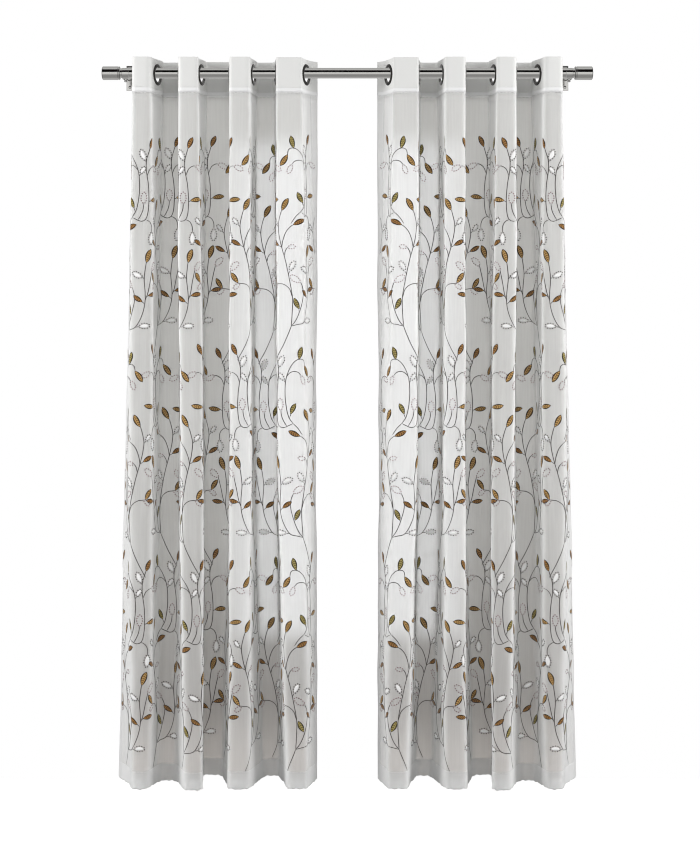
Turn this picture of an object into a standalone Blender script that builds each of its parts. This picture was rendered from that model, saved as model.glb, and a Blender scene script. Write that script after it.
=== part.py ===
"""A pair of sheer voile eyelet curtains on a metal rod, held to a wall by two brackets.

The wall is the plane Y = 0, the rod runs along X in front of it at Z = 0, and the cloth's face
looks along -Y. Both panels are drawn in plan as (out, depth): out is the distance from the middle
of the rod, depth is how far behind the rod's axis the cloth stands.
"""

import math

import bmesh
import bpy
import numpy as np
from mathutils import Matrix, Vector

COLLECTION = "sheer_voile_curtain"
SIDES = {"left": -1, "right": 1}
GAP = 0.0003  # between pieces that meet

# Cloth, as cut: 52 by 84 inches a panel
PANEL_WIDTH = 1.321
PANEL_LENGTH = 2.134
VOILE_THICKNESS = 0.0012
HEADING_HEIGHT = 0.102
HEADING_THICKNESS = 0.002
HEADING_ABOVE_ROD = 0.040
SIDE_MARGIN = 0.062  # side edge to the first eyelet's middle, along the cloth

# Eyelets
EYELET_COUNT = 8
EYELET_PITCH = (PANEL_WIDTH - 2 * SIDE_MARGIN) / (EYELET_COUNT - 1)
EYELET_BORE_RADIUS = 0.021
EYELET_BARREL_RADIUS = 0.0232
EYELET_RIM_RADIUS = 0.0315
EYELET_HALF_THICKNESS = 0.0033
EYELET_RIM_THICKNESS = 0.0007
EYELET_STEPS = 16
FLAT_REACH = EYELET_RIM_RADIUS + 0.001  # the cloth is flat this far from an eyelet's middle
GRIP = 0.036  # the rounded bend beyond it is centred here

# Rod and finials
ROD_RADIUS = 0.0155
ROD_WALL = 0.001
ROD_HALF_LENGTH = 0.664
ROD_STANDOFF = 0.095  # rod axis to wall
NECK_RADIUS = 0.0146
NECK_LENGTH = 0.0065
SPIGOT_RADIUS = 0.0141
SPIGOT_LENGTH = 0.020
FINIAL_RADIUS = 0.020
FINIAL_LENGTH = 0.0525
FINIAL_CHAMFER = 0.0016
ROUND_STEPS = 32

# Brackets
BRACKET_OUT = 0.654
PLATE_SIZE = (0.021, 0.003, 0.075)
PLATE_DROP = 0.003  # plate middle below the rod's axis
PLATE_BEVEL = 0.001
PLATE_SCREW_OFFSET = 0.027
ARM_RADIUS = 0.006
CRADLE_WIDTH = 0.018
CRADLE_WALL = 0.003
CRADLE_LIP = 0.004  # the cradle's two sides end this far above the rod's axis
BOSS_RADIUS = 0.006
BOSS_DROP = 0.0205
SCREW_SHANK_RADIUS = 0.002
SCREW_HOLE_RADIUS = 0.0024
WALL_SCREW_HEAD = (0.0042, 0.0022)  # radius, height
THUMB_SCREW_HEAD = (0.0045, 0.0058)

EYELET_DROP = EYELET_BORE_RADIUS - ROD_RADIUS - 2 * GAP  # eyelets hang from the rod by their bore
HEADING_TOP = HEADING_ABOVE_ROD
HEADING_FOOT = HEADING_TOP - HEADING_HEIGHT
HEM_FOOT = HEADING_TOP - PANEL_LENGTH

# One row for each eyelet, from the side edge inwards. Lean is the angle by which the cloth there,
# followed from front to back, runs towards the middle of the rod.
EYELETS = (
    # out, lean in degrees
    (0.630, -3),
    (0.561, 18),
    (0.496, -2),
    (0.431, 15),
    (0.347, -2),
    (0.278, 11),
    (0.211, -7),
    (0.122, 21),
)

# One row for each fold between two eyelets: where its flat crest starts and ends, measured out
# from the middle of the rod, at the heading, halfway down and at the hem, and its depth at the hem.
FOLDS = (
    # heading, halfway, hem, hem depth
    ("front_1", (0.628, 0.575), (0.635, 0.572), (0.623, 0.585), -0.066),
    ("back_1", (0.554, 0.498), (0.560, 0.498), (0.550, 0.515), 0.028),
    ("front_2", (0.492, 0.433), (0.488, 0.422), (0.469, 0.419), -0.076),
    ("back_2", (0.423, 0.348), (0.430, 0.350), (0.438, 0.375), 0.078),
    ("front_3", (0.344, 0.284), (0.344, 0.285), (0.346, 0.288), -0.066),
    ("back_3", (0.272, 0.217), (0.273, 0.209), (0.248, 0.204), 0.072),
    ("front_4", (0.209, 0.132), (0.203, 0.124), (0.173, 0.120), -0.068),
)

# Where the two side edges stand, as (out, depth)
OUTER_EDGE = {"halfway": (0.662, 0.066), "hem": (0.685, 0.072)}
INNER_EDGE = {"heading": (0.0896, 0.0516), "halfway": (0.092, 0.050), "hem": (0.091, 0.047)}

CORNER_RADIUS_HEADING = 0.015
CORNER_RADIUS_HEM = 0.026
# Mesh columns inside one fold, as distances from its first eyelet along the cloth
FOLD_COLUMNS = (FLAT_REACH, 0.046, 0.057, 0.068, 0.0855, 0.103, 0.114, 0.125, EYELET_PITCH - FLAT_REACH)
PANEL_ROWS = 9


def solve(measure, target, low, high):
    """The value between low and high at which a rising measure reaches its target."""
    for _ in range(40):
        middle = (low + high) / 2
        if measure(middle) < target:
            low = middle
        else:
            high = middle
    return (low + high) / 2


def rounded(corners, radius, steps=6):
    """A path through the corners, each turned into a curve of about this radius."""
    path = [corners[0]]
    for before, corner, after in zip(corners, corners[1:], corners[2:]):
        back, ahead = before - corner, after - corner
        back_length, ahead_length = np.linalg.norm(back), np.linalg.norm(ahead)
        back, ahead = back / back_length, ahead / ahead_length
        turn = math.pi - math.acos(np.clip(back @ ahead, -1, 1))
        cut = min(radius * math.tan(turn / 2), 0.48 * back_length, 0.48 * ahead_length)
        for share in np.linspace(0, 1, steps + 1):
            path.append(corner + cut * ((1 - share) ** 2 * back + share**2 * ahead))
    path.append(corners[-1])
    return np.array(path)


def distances(path):
    """How far along the path each of its points is."""
    steps = np.linalg.norm(np.diff(path, axis=0), axis=1)
    return np.concatenate([[0], np.cumsum(steps)])


def eyelet_middle(index):
    return np.array([EYELETS[index][0], 0.0])


def backwards(index):
    """The direction of the cloth at an eyelet, from front to back."""
    lean = math.radians(EYELETS[index][1])
    return np.array([-math.sin(lean), math.cos(lean)])


def grips(index):
    """The two ends of an eyelet's flat stretch of cloth, in the order of the cloth."""
    forward = -1 if index % 2 == 0 else 1  # the cloth comes forward at every other eyelet
    reach = forward * GRIP * backwards(index)
    return [eyelet_middle(index) - reach, eyelet_middle(index) + reach]


def heading_crest(index):
    """The two crest corners of a fold at the heading, as deep as its length of cloth makes it."""
    side = -1 if index % 2 == 0 else 1
    outer, inner = FOLDS[index][1]

    def fold_at(depth):
        crest = [np.array([outer, side * depth]), np.array([inner, side * depth])]
        corners = [eyelet_middle(index), grips(index)[1], *crest, grips(index + 1)[0], eyelet_middle(index + 1)]
        return crest, distances(rounded(corners, CORNER_RADIUS_HEADING))[-1]

    depth = solve(lambda tried: fold_at(tried)[1], EYELET_PITCH, GRIP, 2 * GRIP + EYELET_PITCH / 2)
    return fold_at(depth)[0]


def heading_corners():
    """The corners of the heading in plan, from the side edge to the inner edge."""
    corners = [eyelet_middle(0) + SIDE_MARGIN * backwards(0)]
    for index in range(EYELET_COUNT):
        corners += grips(index)
        if index < len(FOLDS):
            corners += heading_crest(index)
    return np.array([*corners, INNER_EDGE["heading"]])


def lower_corners(place, depths):
    """The same corners lower down, where the cloth between two crests hangs straight."""
    crests = [np.array(OUTER_EDGE[place])]
    for row, depth in zip(FOLDS, depths):
        outer, inner = row[2] if place == "halfway" else row[3]
        crests += [np.array([outer, depth]), np.array([inner, depth])]
    crests.append(np.array(INNER_EDGE[place]))
    corners = []
    for start, end in zip(crests[::2], crests[1::2]):
        corners += [start, start + (end - start) / 3, end + (start - end) / 3, end]
    return np.array(corners)


HEADING_CORNERS = heading_corners()
HEADING_DEPTHS = [HEADING_CORNERS[3 + 4 * index][1] for index in range(len(FOLDS))]
HEM_DEPTHS = [row[4] for row in FOLDS]
HEM_CORNERS = lower_corners("hem", HEM_DEPTHS)
HALFWAY_CORNERS = lower_corners("halfway", np.mean([HEADING_DEPTHS, HEM_DEPTHS], axis=0))


def plan(drop):
    """The panel in plan at a drop of 0, the heading's foot, to 1, the hem: a path of its cut width."""
    corners = (
        HEADING_CORNERS * (1 - drop) * (1 - 2 * drop)
        + HALFWAY_CORNERS * 4 * drop * (1 - drop)
        + HEM_CORNERS * drop * (2 * drop - 1)
    )
    radius = CORNER_RADIUS_HEADING + (CORNER_RADIUS_HEM - CORNER_RADIUS_HEADING) * drop

    def deepened(factor):
        return rounded(corners * [1, factor], radius)

    factor = solve(lambda tried: distances(deepened(tried))[-1], PANEL_WIDTH, 0.5, 1.5)
    return deepened(factor)


def along(path, columns):
    """The points of the path at these distances along the cloth."""
    travelled = distances(path) * PANEL_WIDTH / distances(path)[-1]
    return np.stack([np.interp(columns, travelled, path[:, axis]) for axis in (0, 1)], axis=1)


def eyelet_columns():
    return SIDE_MARGIN + EYELET_PITCH * np.arange(EYELET_COUNT)


def mesh_columns():
    inside = (eyelet_columns()[:-1, None] + np.array(FOLD_COLUMNS)).ravel()
    start, end = SIDE_MARGIN - FLAT_REACH, PANEL_WIDTH - SIDE_MARGIN + FLAT_REACH
    return np.array([0, start, *inside, end, (end + PANEL_WIDTH) / 2, PANEL_WIDTH])


def world_point(side, out, depth, height):
    return Vector((side * out, depth - ROD_STANDOFF, height))


def material(name, colour, roughness, metallic=0.0, alpha=1.0):
    made = bpy.data.materials.new(name)
    made.use_nodes = True
    made.diffuse_color = (*colour, alpha)
    shader = made.node_tree.nodes["Principled BSDF"]
    shader.inputs["Base Color"].default_value = (*colour, 1)
    shader.inputs["Roughness"].default_value = roughness
    shader.inputs["Metallic"].default_value = metallic
    shader.inputs["Alpha"].default_value = alpha
    return made


def add_object(name, mesh, collection, finish=None):
    made = bpy.data.objects.new(name, mesh)
    collection.objects.link(made)
    if finish and not mesh.materials:
        mesh.materials.append(finish)
    return made


def mesh_of(name, make):
    """A mesh that the function draws with bmesh."""
    drawing = bmesh.new()
    make(drawing)
    mesh = bpy.data.meshes.new(name)
    drawing.to_mesh(mesh)
    drawing.free()
    return mesh


def cylinder(drawing, radius, start, end, segments=ROUND_STEPS):
    """A closed cylinder between two points."""
    start, end = Vector(start), Vector(end)
    turn = (end - start).to_track_quat("Z", "Y").to_matrix().to_4x4()
    bmesh.ops.create_cone(
        drawing,
        cap_ends=True,
        segments=segments,
        radius1=radius,
        radius2=radius,
        depth=(end - start).length,
        matrix=Matrix.Translation((start + end) / 2) @ turn,
    )


def box(drawing, size, middle):
    scale = Matrix.Diagonal((*size, 1))
    bmesh.ops.create_cube(drawing, size=1, matrix=Matrix.Translation(middle) @ scale)


def turned_mesh(name, profile, closed):
    """The outline (radius, height) of a turned piece. The Screw modifier turns it."""
    points = [(radius, 0, height) for radius, height in profile]
    edges = [(index, index + 1) for index in range(len(points) - 1)]
    if closed:
        edges.append((len(points) - 1, 0))
    mesh = bpy.data.meshes.new(name)
    mesh.from_pydata(points, edges, [])
    return mesh


def add_screw(made, steps):
    screw = made.modifiers.new("turn", "SCREW")
    screw.steps = steps
    screw.render_steps = steps
    screw.use_merge_vertices = True
    screw.merge_threshold = 0.0001


def add_solidify(made, thickness):
    shell = made.modifiers.new("thickness", "SOLIDIFY")
    shell.thickness = thickness
    shell.offset = 0
    shell.use_even_offset = True


def add_cut(made, operation, tool):
    boolean = made.modifiers.new(tool.name, "BOOLEAN")
    boolean.operation = operation
    boolean.object = tool
    boolean.solver = "EXACT"


def add_helper(name, make, cutters):
    """A shape that only cuts or joins another."""
    made = add_object(name, mesh_of(name, make), cutters)
    made.hide_render = True
    made.display_type = "WIRE"
    return made


def cloth_mesh(name, side, columns, heights):
    """A grid of cloth whose columns keep their distances along the cloth at every height."""
    drop_length = HEADING_FOOT - HEM_FOOT
    drops = np.clip((HEADING_FOOT - np.array(heights)) / drop_length, 0, 1)
    rows = [along(plan(drop), columns) for drop in drops]

    def make(drawing):
        across, down = len(columns) - 1, len(heights) - 1
        bmesh.ops.create_grid(drawing, x_segments=across, y_segments=down, size=0.5)
        for vertex in drawing.verts:
            column = round((vertex.co.x + 0.5) * across)
            row = round((vertex.co.y + 0.5) * down)
            vertex.co = world_point(side, *rows[row][column], heights[row])

    mesh = mesh_of(name, make)
    mesh.shade_smooth()
    return mesh


def make_panel(word, side, parts, finish):
    name = f"panel_{word}"
    heights = np.linspace(HEADING_FOOT - GAP, HEM_FOOT, PANEL_ROWS)
    panel = add_object(name, cloth_mesh(name, side, mesh_columns(), heights), parts, finish)
    add_solidify(panel, VOILE_THICKNESS)


def eyelet_place(side, index):
    """An eyelet's middle, and the direction straight through it."""
    here, ahead = along(HEADING_PLAN, eyelet_columns()[index] + np.array([0, 0.001]))
    middle = world_point(side, *here, -EYELET_DROP)
    run = world_point(side, *ahead, -EYELET_DROP) - middle
    return middle, run.cross(Vector((0, 0, 1))).normalized()


def make_heading(word, side, parts, cutters, finish):
    name = f"heading_{word}"
    mesh = cloth_mesh(name, side, mesh_columns(), [HEADING_TOP, HEADING_FOOT])
    heading = add_object(name, mesh, parts, finish)
    add_solidify(heading, HEADING_THICKNESS)

    def holes(drawing):
        for index in range(EYELET_COUNT):
            middle, through = eyelet_place(side, index)
            reach = through * 3 * HEADING_THICKNESS
            cylinder(drawing, EYELET_BARREL_RADIUS + GAP, middle - reach, middle + reach, EYELET_STEPS)

    add_cut(heading, "DIFFERENCE", add_helper(f"holes_{word}", holes, cutters))


def eyelet_mesh():
    """A grooved ring: a barrel through the cloth and a rim on each face of it."""
    grip = HEADING_THICKNESS / 2 + GAP
    rim = grip + EYELET_RIM_THICKNESS
    bore = EYELET_BORE_RADIUS / math.cos(math.pi / EYELET_STEPS)  # so that its flats clear the rod
    profile = (
        (bore, EYELET_HALF_THICKNESS),
        (EYELET_RIM_RADIUS, rim),
        (EYELET_RIM_RADIUS, grip),
        (EYELET_BARREL_RADIUS, grip),
        (EYELET_BARREL_RADIUS, -grip),
        (EYELET_RIM_RADIUS, -grip),
        (EYELET_RIM_RADIUS, -rim),
        (bore, -EYELET_HALF_THICKNESS),
    )
    return turned_mesh("eyelet", profile, closed=True)


def make_eyelets(word, side, parts, mesh, finish):
    for index in range(EYELET_COUNT):
        eyelet = add_object(f"eyelet_{word}_{index + 1}", mesh, parts, finish)
        middle, through = eyelet_place(side, index)
        eyelet.location = middle
        eyelet.rotation_euler = through.to_track_quat("Z", "Y").to_euler()
        add_screw(eyelet, EYELET_STEPS)


def make_rod(parts, finish):
    bore = ROD_RADIUS - ROD_WALL
    profile = (
        (ROD_RADIUS, ROD_HALF_LENGTH),
        (ROD_RADIUS, -ROD_HALF_LENGTH),
        (bore, -ROD_HALF_LENGTH),
        (bore, ROD_HALF_LENGTH),
    )
    rod = add_object("rod", turned_mesh("rod", profile, closed=True), parts, finish)
    rod.location = (0, -ROD_STANDOFF, 0)
    rod.rotation_euler = (0, math.pi / 2, 0)
    add_screw(rod, ROUND_STEPS)


def make_finial(word, side, parts, finish):
    """A plain cylinder end with a neck, and a spigot inside the rod."""
    neck_start = GAP
    body_start = neck_start + NECK_LENGTH
    body_end = body_start + FINIAL_LENGTH
    profile = (
        (0, body_end),
        (FINIAL_RADIUS - FINIAL_CHAMFER, body_end),
        (FINIAL_RADIUS, body_end - FINIAL_CHAMFER),
        (FINIAL_RADIUS, body_start + FINIAL_CHAMFER),
        (FINIAL_RADIUS - FINIAL_CHAMFER, body_start),
        (NECK_RADIUS, body_start),
        (NECK_RADIUS, neck_start),
        (SPIGOT_RADIUS, neck_start),
        (SPIGOT_RADIUS, neck_start - SPIGOT_LENGTH),
        (0, neck_start - SPIGOT_LENGTH),
    )
    name = f"finial_{word}"
    finial = add_object(name, turned_mesh(name, profile, closed=False), parts, finish)
    finial.location = (side * ROD_HALF_LENGTH, -ROD_STANDOFF, 0)
    finial.rotation_euler = (0, side * math.pi / 2, 0)
    add_screw(finial, ROUND_STEPS)


def make_bracket(word, side, parts, cutters, finish):
    """A wall plate, an arm and an open cradle under the rod, cast in one."""
    place = side * BRACKET_OUT
    plate_back = Vector((place, 0, -PLATE_DROP))
    axis = Vector((place, -ROD_STANDOFF, 0))
    half_width = Vector((CRADLE_WIDTH / 2, 0, 0))
    bore = ROD_RADIUS + GAP
    outer = bore + CRADLE_WALL
    name = f"bracket_{word}"

    def plate(drawing):
        box(drawing, PLATE_SIZE, plate_back - Vector((0, PLATE_SIZE[1] / 2, 0)))

    def arm(drawing):
        start = axis + Vector((0, bore + CRADLE_WALL / 2, -PLATE_DROP))
        cylinder(drawing, ARM_RADIUS, start, plate_back - Vector((0, PLATE_SIZE[1] / 2, 0)), 20)

    def cradle(drawing):
        cylinder(drawing, outer, axis - half_width, axis + half_width)

    def boss(drawing):
        cylinder(drawing, BOSS_RADIUS, axis - Vector((0, 0, bore + 0.001)), axis - Vector((0, 0, BOSS_DROP)), 20)

    def rod_space(drawing):
        cylinder(drawing, bore, axis - 2 * half_width, axis + 2 * half_width)

    def open_top(drawing):
        size = (2 * CRADLE_WIDTH, 2.2 * outer, outer)
        box(drawing, size, axis + Vector((0, 0, CRADLE_LIP + outer / 2)))

    def screw_holes(drawing):
        cylinder(drawing, SCREW_HOLE_RADIUS, axis, axis - Vector((0, 0, 2 * BOSS_DROP)), 16)
        for offset in (-PLATE_SCREW_OFFSET, PLATE_SCREW_OFFSET):
            hole = plate_back + Vector((0, 0, offset))
            reach = Vector((0, 2 * PLATE_SIZE[1], 0))
            cylinder(drawing, SCREW_HOLE_RADIUS, hole - reach, hole + reach, 16)

    bracket = add_object(name, mesh_of(name, plate), parts, finish)
    bevel = bracket.modifiers.new("edges", "BEVEL")
    bevel.width = PLATE_BEVEL
    bevel.segments = 1
    for joined in (arm, cradle, boss):
        add_cut(bracket, "UNION", add_helper(f"{joined.__name__}_{word}", joined, cutters))
    for cut in (rod_space, open_top, screw_holes):
        add_cut(bracket, "DIFFERENCE", add_helper(f"{cut.__name__}_{word}", cut, cutters))


def screw_mesh(name, head, shank_length):
    """A turned screw whose head stands above its shank."""
    radius, height = head
    profile = (
        (0, height),
        (0.8 * radius, height),
        (radius, 0.6 * height),
        (radius, 0),
        (SCREW_SHANK_RADIUS, 0),
        (SCREW_SHANK_RADIUS, -shank_length),
        (0, -shank_length),
    )
    return turned_mesh(name, profile, closed=False)


def make_screws(word, side, parts, meshes, finish):
    place = side * BRACKET_OUT
    thumb = add_object(f"thumb_screw_{word}", meshes["thumb"], parts, finish)
    thumb.location = (place, -ROD_STANDOFF, -BOSS_DROP - GAP)
    thumb.rotation_euler = (math.pi, 0, 0)
    add_screw(thumb, EYELET_STEPS)
    for level, offset in (("upper", PLATE_SCREW_OFFSET), ("lower", -PLATE_SCREW_OFFSET)):
        screw = add_object(f"wall_screw_{word}_{level}", meshes["wall"], parts, finish)
        screw.location = (place, -PLATE_SIZE[1] - GAP, offset - PLATE_DROP)
        screw.rotation_euler = (math.pi / 2, 0, 0)
        add_screw(screw, EYELET_STEPS)


for old in list(bpy.data.objects):
    bpy.data.objects.remove(old, do_unlink=True)

parts = bpy.data.collections.new(COLLECTION)
cutters = bpy.data.collections.new("cutters")
cutters.hide_render = True
for collection in (parts, cutters):
    bpy.context.scene.collection.children.link(collection)

voile = material("voile", (0.78, 0.78, 0.77), 0.8, alpha=0.55)
heading_cloth = material("heading_cloth", (0.82, 0.82, 0.81), 0.75)
pewter = material("pewter", (0.10, 0.10, 0.105), 0.3, metallic=1.0)
nickel = material("brushed_nickel", (0.55, 0.55, 0.56), 0.25, metallic=1.0)

HEADING_PLAN = plan(0)
ring = eyelet_mesh()
screws = {
    "thumb": screw_mesh("thumb_screw", THUMB_SCREW_HEAD, BOSS_DROP - ROD_RADIUS),
    "wall": screw_mesh("wall_screw", WALL_SCREW_HEAD, PLATE_SIZE[1]),
}
make_rod(parts, nickel)
for word, side in SIDES.items():
    make_panel(word, side, parts, voile)
    make_heading(word, side, parts, cutters, heading_cloth)
    make_eyelets(word, side, parts, ring, pewter)
    make_finial(word, side, parts, nickel)
    make_bracket(word, side, parts, cutters, nickel)
    make_screws(word, side, parts, screws, nickel)
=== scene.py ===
# %% [markdown]
# # A pair of sheer voile curtains
#
# Two panels of white voile hang by dark eyelets from one metal rod. Each panel is a single width
# of cloth with an opaque heading along its top, a hem on its other three sides, and leafy vines
# embroidered all over it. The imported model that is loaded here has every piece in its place, in
# metres: the wall is the plane Y = 0, the rod runs along X in front of it, and Z is up. Each step
# below finishes a piece of that model, or draws a finer one that stands for it.

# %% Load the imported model
import math

import bmesh
import bpy
import numpy as np
from mathutils import Matrix, Vector


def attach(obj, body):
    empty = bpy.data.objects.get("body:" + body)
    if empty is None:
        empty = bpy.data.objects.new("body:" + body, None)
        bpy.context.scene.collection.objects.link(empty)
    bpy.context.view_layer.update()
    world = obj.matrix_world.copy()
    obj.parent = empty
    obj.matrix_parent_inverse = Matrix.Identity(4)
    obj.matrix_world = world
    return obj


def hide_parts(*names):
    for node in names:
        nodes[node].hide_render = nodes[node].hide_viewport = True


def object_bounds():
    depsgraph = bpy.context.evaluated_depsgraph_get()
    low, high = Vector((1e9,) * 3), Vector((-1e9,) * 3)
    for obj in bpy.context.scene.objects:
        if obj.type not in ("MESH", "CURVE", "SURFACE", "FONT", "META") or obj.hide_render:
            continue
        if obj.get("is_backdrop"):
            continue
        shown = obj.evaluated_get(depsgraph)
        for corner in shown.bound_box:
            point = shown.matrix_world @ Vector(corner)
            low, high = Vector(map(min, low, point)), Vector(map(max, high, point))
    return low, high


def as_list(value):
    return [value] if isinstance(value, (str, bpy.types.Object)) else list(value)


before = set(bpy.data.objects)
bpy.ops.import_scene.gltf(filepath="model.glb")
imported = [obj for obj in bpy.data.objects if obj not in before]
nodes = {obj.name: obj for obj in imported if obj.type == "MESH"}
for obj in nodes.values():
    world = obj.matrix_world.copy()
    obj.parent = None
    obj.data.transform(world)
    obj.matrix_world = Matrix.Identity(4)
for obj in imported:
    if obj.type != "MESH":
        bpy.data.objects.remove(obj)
cad_box = [list(corner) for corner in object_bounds()]
print(len(nodes), "nodes, from", cad_box[0], "to", cad_box[1])

# %% [markdown]
# ## Helpers for materials
#
# Colours are written as sRGB hex values, as a colour picker shows them, while a shader works in
# linear light. One function turns the first into the second. Another adds a node, gives it its
# settings, and joins its sockets to numbers, colours or the outputs of other nodes.

# %% Colours and nodes
MIX_A, MIX_B, MIXED = 6, 7, 2  # the colour sockets of a Mix node


def linear(hex_colour):
    """An sRGB hex colour as linear red, green, blue and alpha."""
    parts = [int(hex_colour[start : start + 2], 16) / 255 for start in (1, 3, 5)]
    return (*(p / 12.92 if p <= 0.04045 else ((p + 0.055) / 1.055) ** 2.4 for p in parts), 1.0)


def grey(level):
    """A linear grey, with its alpha."""
    return (level, level, level, 1.0)


def add_node(tree, kind, inputs=None, **settings):
    """A node with its settings, and what feeds each socket. kind is its type after ShaderNode."""
    made = tree.nodes.new("ShaderNode" + kind)
    for name, value in settings.items():
        setattr(made, name, value)
    for name, value in (inputs or {}).items():
        if isinstance(value, bpy.types.NodeSocket):
            tree.links.new(value, made.inputs[name])
        else:
            made.inputs[name].default_value = value
    return made


def new_material(name, **sockets):
    """A material with one Principled shader, whose sockets are set by name."""
    made = bpy.data.materials.new(name)
    made.use_nodes = True
    shader = made.node_tree.nodes["Principled BSDF"]
    for socket, value in sockets.items():
        shader.inputs[socket.replace("_", " ")].default_value = value
    return made, made.node_tree, shader


def set_stops(ramp, stops):
    """Gives a colour ramp its stops, as rows of position and linear colour."""
    elements = ramp.color_ramp.elements
    elements[0].position, elements[1].position = stops[0][0], stops[-1][0]
    elements[0].color, elements[1].color = stops[0][1], stops[-1][1]
    for position, colour in stops[1:-1]:
        elements.new(position).color = colour


print("linear mid grey:", [round(part, 3) for part in linear("#808080")])

# %% [markdown]
# ## Camera
#
# The photograph was taken straight on, from about 4.9 m in front of the rod and 0.66 m below it,
# with the picture plane upright, so that the folds stay parallel. A tall object seen from
# above its middle is framed by shifting the lens, as an architectural camera does.

# %% The camera
IMAGE_SIZE = (700, 855)
SENSOR = 36.0
FOCAL_IN_PIXELS = 1653
ROD_STANDOFF = 0.095  # rod axis to wall
CAMERA_DISTANCE = 4.88  # to the rod
CAMERA_HEIGHT = -0.6607
MIDDLE_IN_IMAGE = (347.4, 297.0)  # the rod's middle, and the camera's own height

camera_data = bpy.data.cameras.new("camera")
camera_data.sensor_fit = "VERTICAL"
camera_data.sensor_height = SENSOR
camera_data.lens = SENSOR * FOCAL_IN_PIXELS / IMAGE_SIZE[1]
camera_data.shift_x = (IMAGE_SIZE[0] / 2 - MIDDLE_IN_IMAGE[0]) / IMAGE_SIZE[1]
camera_data.shift_y = (MIDDLE_IN_IMAGE[1] - IMAGE_SIZE[1] / 2) / IMAGE_SIZE[1]
camera = bpy.data.objects.new("camera", camera_data)
camera.location = (0, -ROD_STANDOFF - CAMERA_DISTANCE, CAMERA_HEIGHT)
camera.rotation_euler = (math.pi / 2, 0, 0)
bpy.context.scene.collection.objects.link(camera)
bpy.context.scene.camera = camera
print("lens", round(camera_data.lens, 1), "mm, shift", round(camera_data.shift_y, 3))

# %% [markdown]
# ## A studio
#
# Voile is lit by what is in front of it and shows what is behind it. The world gives each kind of
# ray what it needs. Past the curtains the camera sees plain white. Through the cloth it sees
# daylight in the middle, and shades of grey beside and below that. Matt cloth gets even light from
# the front and little from the wall's side, so its back folds stay darker than its crests. Polished
# metal gets dark and bright bands, because metal is only as interesting as what it mirrors.

# %% What each kind of ray sees, in numbers
SHADE_SLOPES = (-0.30, -0.10)  # how steep a view has the first and the last of the shades
SHADES = (  # what shows through the cloth where there is no daylight, from low to high
    (0.00, "#C4BAB2"),
    (0.12, "#BCB2AA"),
    (0.25, "#847A72"),
    (0.36, "#88817A"),
    (1.00, "#BEBCB7"),
)
DAYLIGHT = 1.08
DAYLIGHT_EDGES = (  # slopes of a direction, sideways and up, between which daylight fades to shade
    ("X", -0.080, -0.055),
    ("X", 0.080, 0.055),
    ("Z", 0.104, 0.084),
    ("Z", -0.214, -0.194),
)
EVEN_LIGHT = 0.37
WALL_LIGHT = 0.04  # what is left of it between the cloth and the wall
METAL_BANDS = (  # how steeply a direction points, -1 straight down to 1 straight up, and its grey
    (-1.00, 0.40),
    (-0.66, 0.40),
    (-0.42, 0.66),
    (-0.22, 1.05),
    (0.16, 1.15),
    (0.21, 0.04),
    (0.25, 0.00),
    (0.84, 0.00),
    (0.92, 0.72),
    (1.00, 0.80),
)
WALL_GREY = 0.62  # what metal mirrors of the wall
WALL_FADE = 0.1  # how far a direction turns towards the wall until it sees the wall alone
SIDE_FADE = (0.3, 0.7)  # how far it turns sideways while the bands dim
SIDE_SHARE = 0.30  # how bright they stay beyond that
print("metal mirrors", len(METAL_BANDS), "shades from the floor up")

# %% The world
world = bpy.data.worlds.new("studio")
bpy.context.scene.world = world
world.use_nodes = True
tree = world.node_tree
tree.nodes.clear()
path = add_node(tree, "LightPath").outputs
direction = add_node(tree, "TexCoord").outputs["Generated"]
parts = add_node(tree, "SeparateXYZ", {0: direction}).outputs
steepness = add_node(tree, "MapRange", {"Value": parts["Z"], "From Min": -1.0}).outputs[0]
bands = add_node(tree, "ValToRGB", {"Fac": steepness})
set_stops(bands, [((steep + 1) / 2, grey(level)) for steep, level in METAL_BANDS])
behind_cloth = add_node(
    tree, "Math", {0: path["Transparent Depth"], 1: 0.5}, operation="GREATER_THAN"
).outputs[0]
slopes = {
    axis: add_node(tree, "Math", {0: parts[axis], 1: parts["Y"]}, operation="DIVIDE").outputs[0]
    for axis in "XZ"
}
daylight = 1.0
for axis, shade, full in DAYLIGHT_EDGES:
    fade = add_node(
        tree,
        "MapRange",
        {"Value": slopes[axis], "From Min": shade, "From Max": full},
        interpolation_type="SMOOTHSTEP",
    ).outputs[0]
    daylight = add_node(tree, "Math", {0: fade, 1: daylight}, operation="MULTIPLY").outputs[0]
height_share = add_node(
    tree,
    "MapRange",
    {"Value": slopes["Z"], "From Min": SHADE_SLOPES[0], "From Max": SHADE_SLOPES[1]},
).outputs[0]
shades = add_node(tree, "ValToRGB", {"Fac": height_share})
set_stops(shades, [(where, linear(shade)) for where, shade in SHADES])
wallwards = add_node(tree, "MapRange", {"Value": parts["Y"], "From Max": WALL_FADE}).outputs[0]
sideways = add_node(tree, "Math", {0: parts["X"]}, operation="ABSOLUTE").outputs[0]
side_share = add_node(
    tree,
    "MapRange",
    {
        "Value": sideways,
        "From Min": SIDE_FADE[0],
        "From Max": SIDE_FADE[1],
        "To Min": 1.0,
        "To Max": SIDE_SHARE,
    },
).outputs[0]
print("the world has", len(tree.nodes), "nodes so far")

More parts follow.
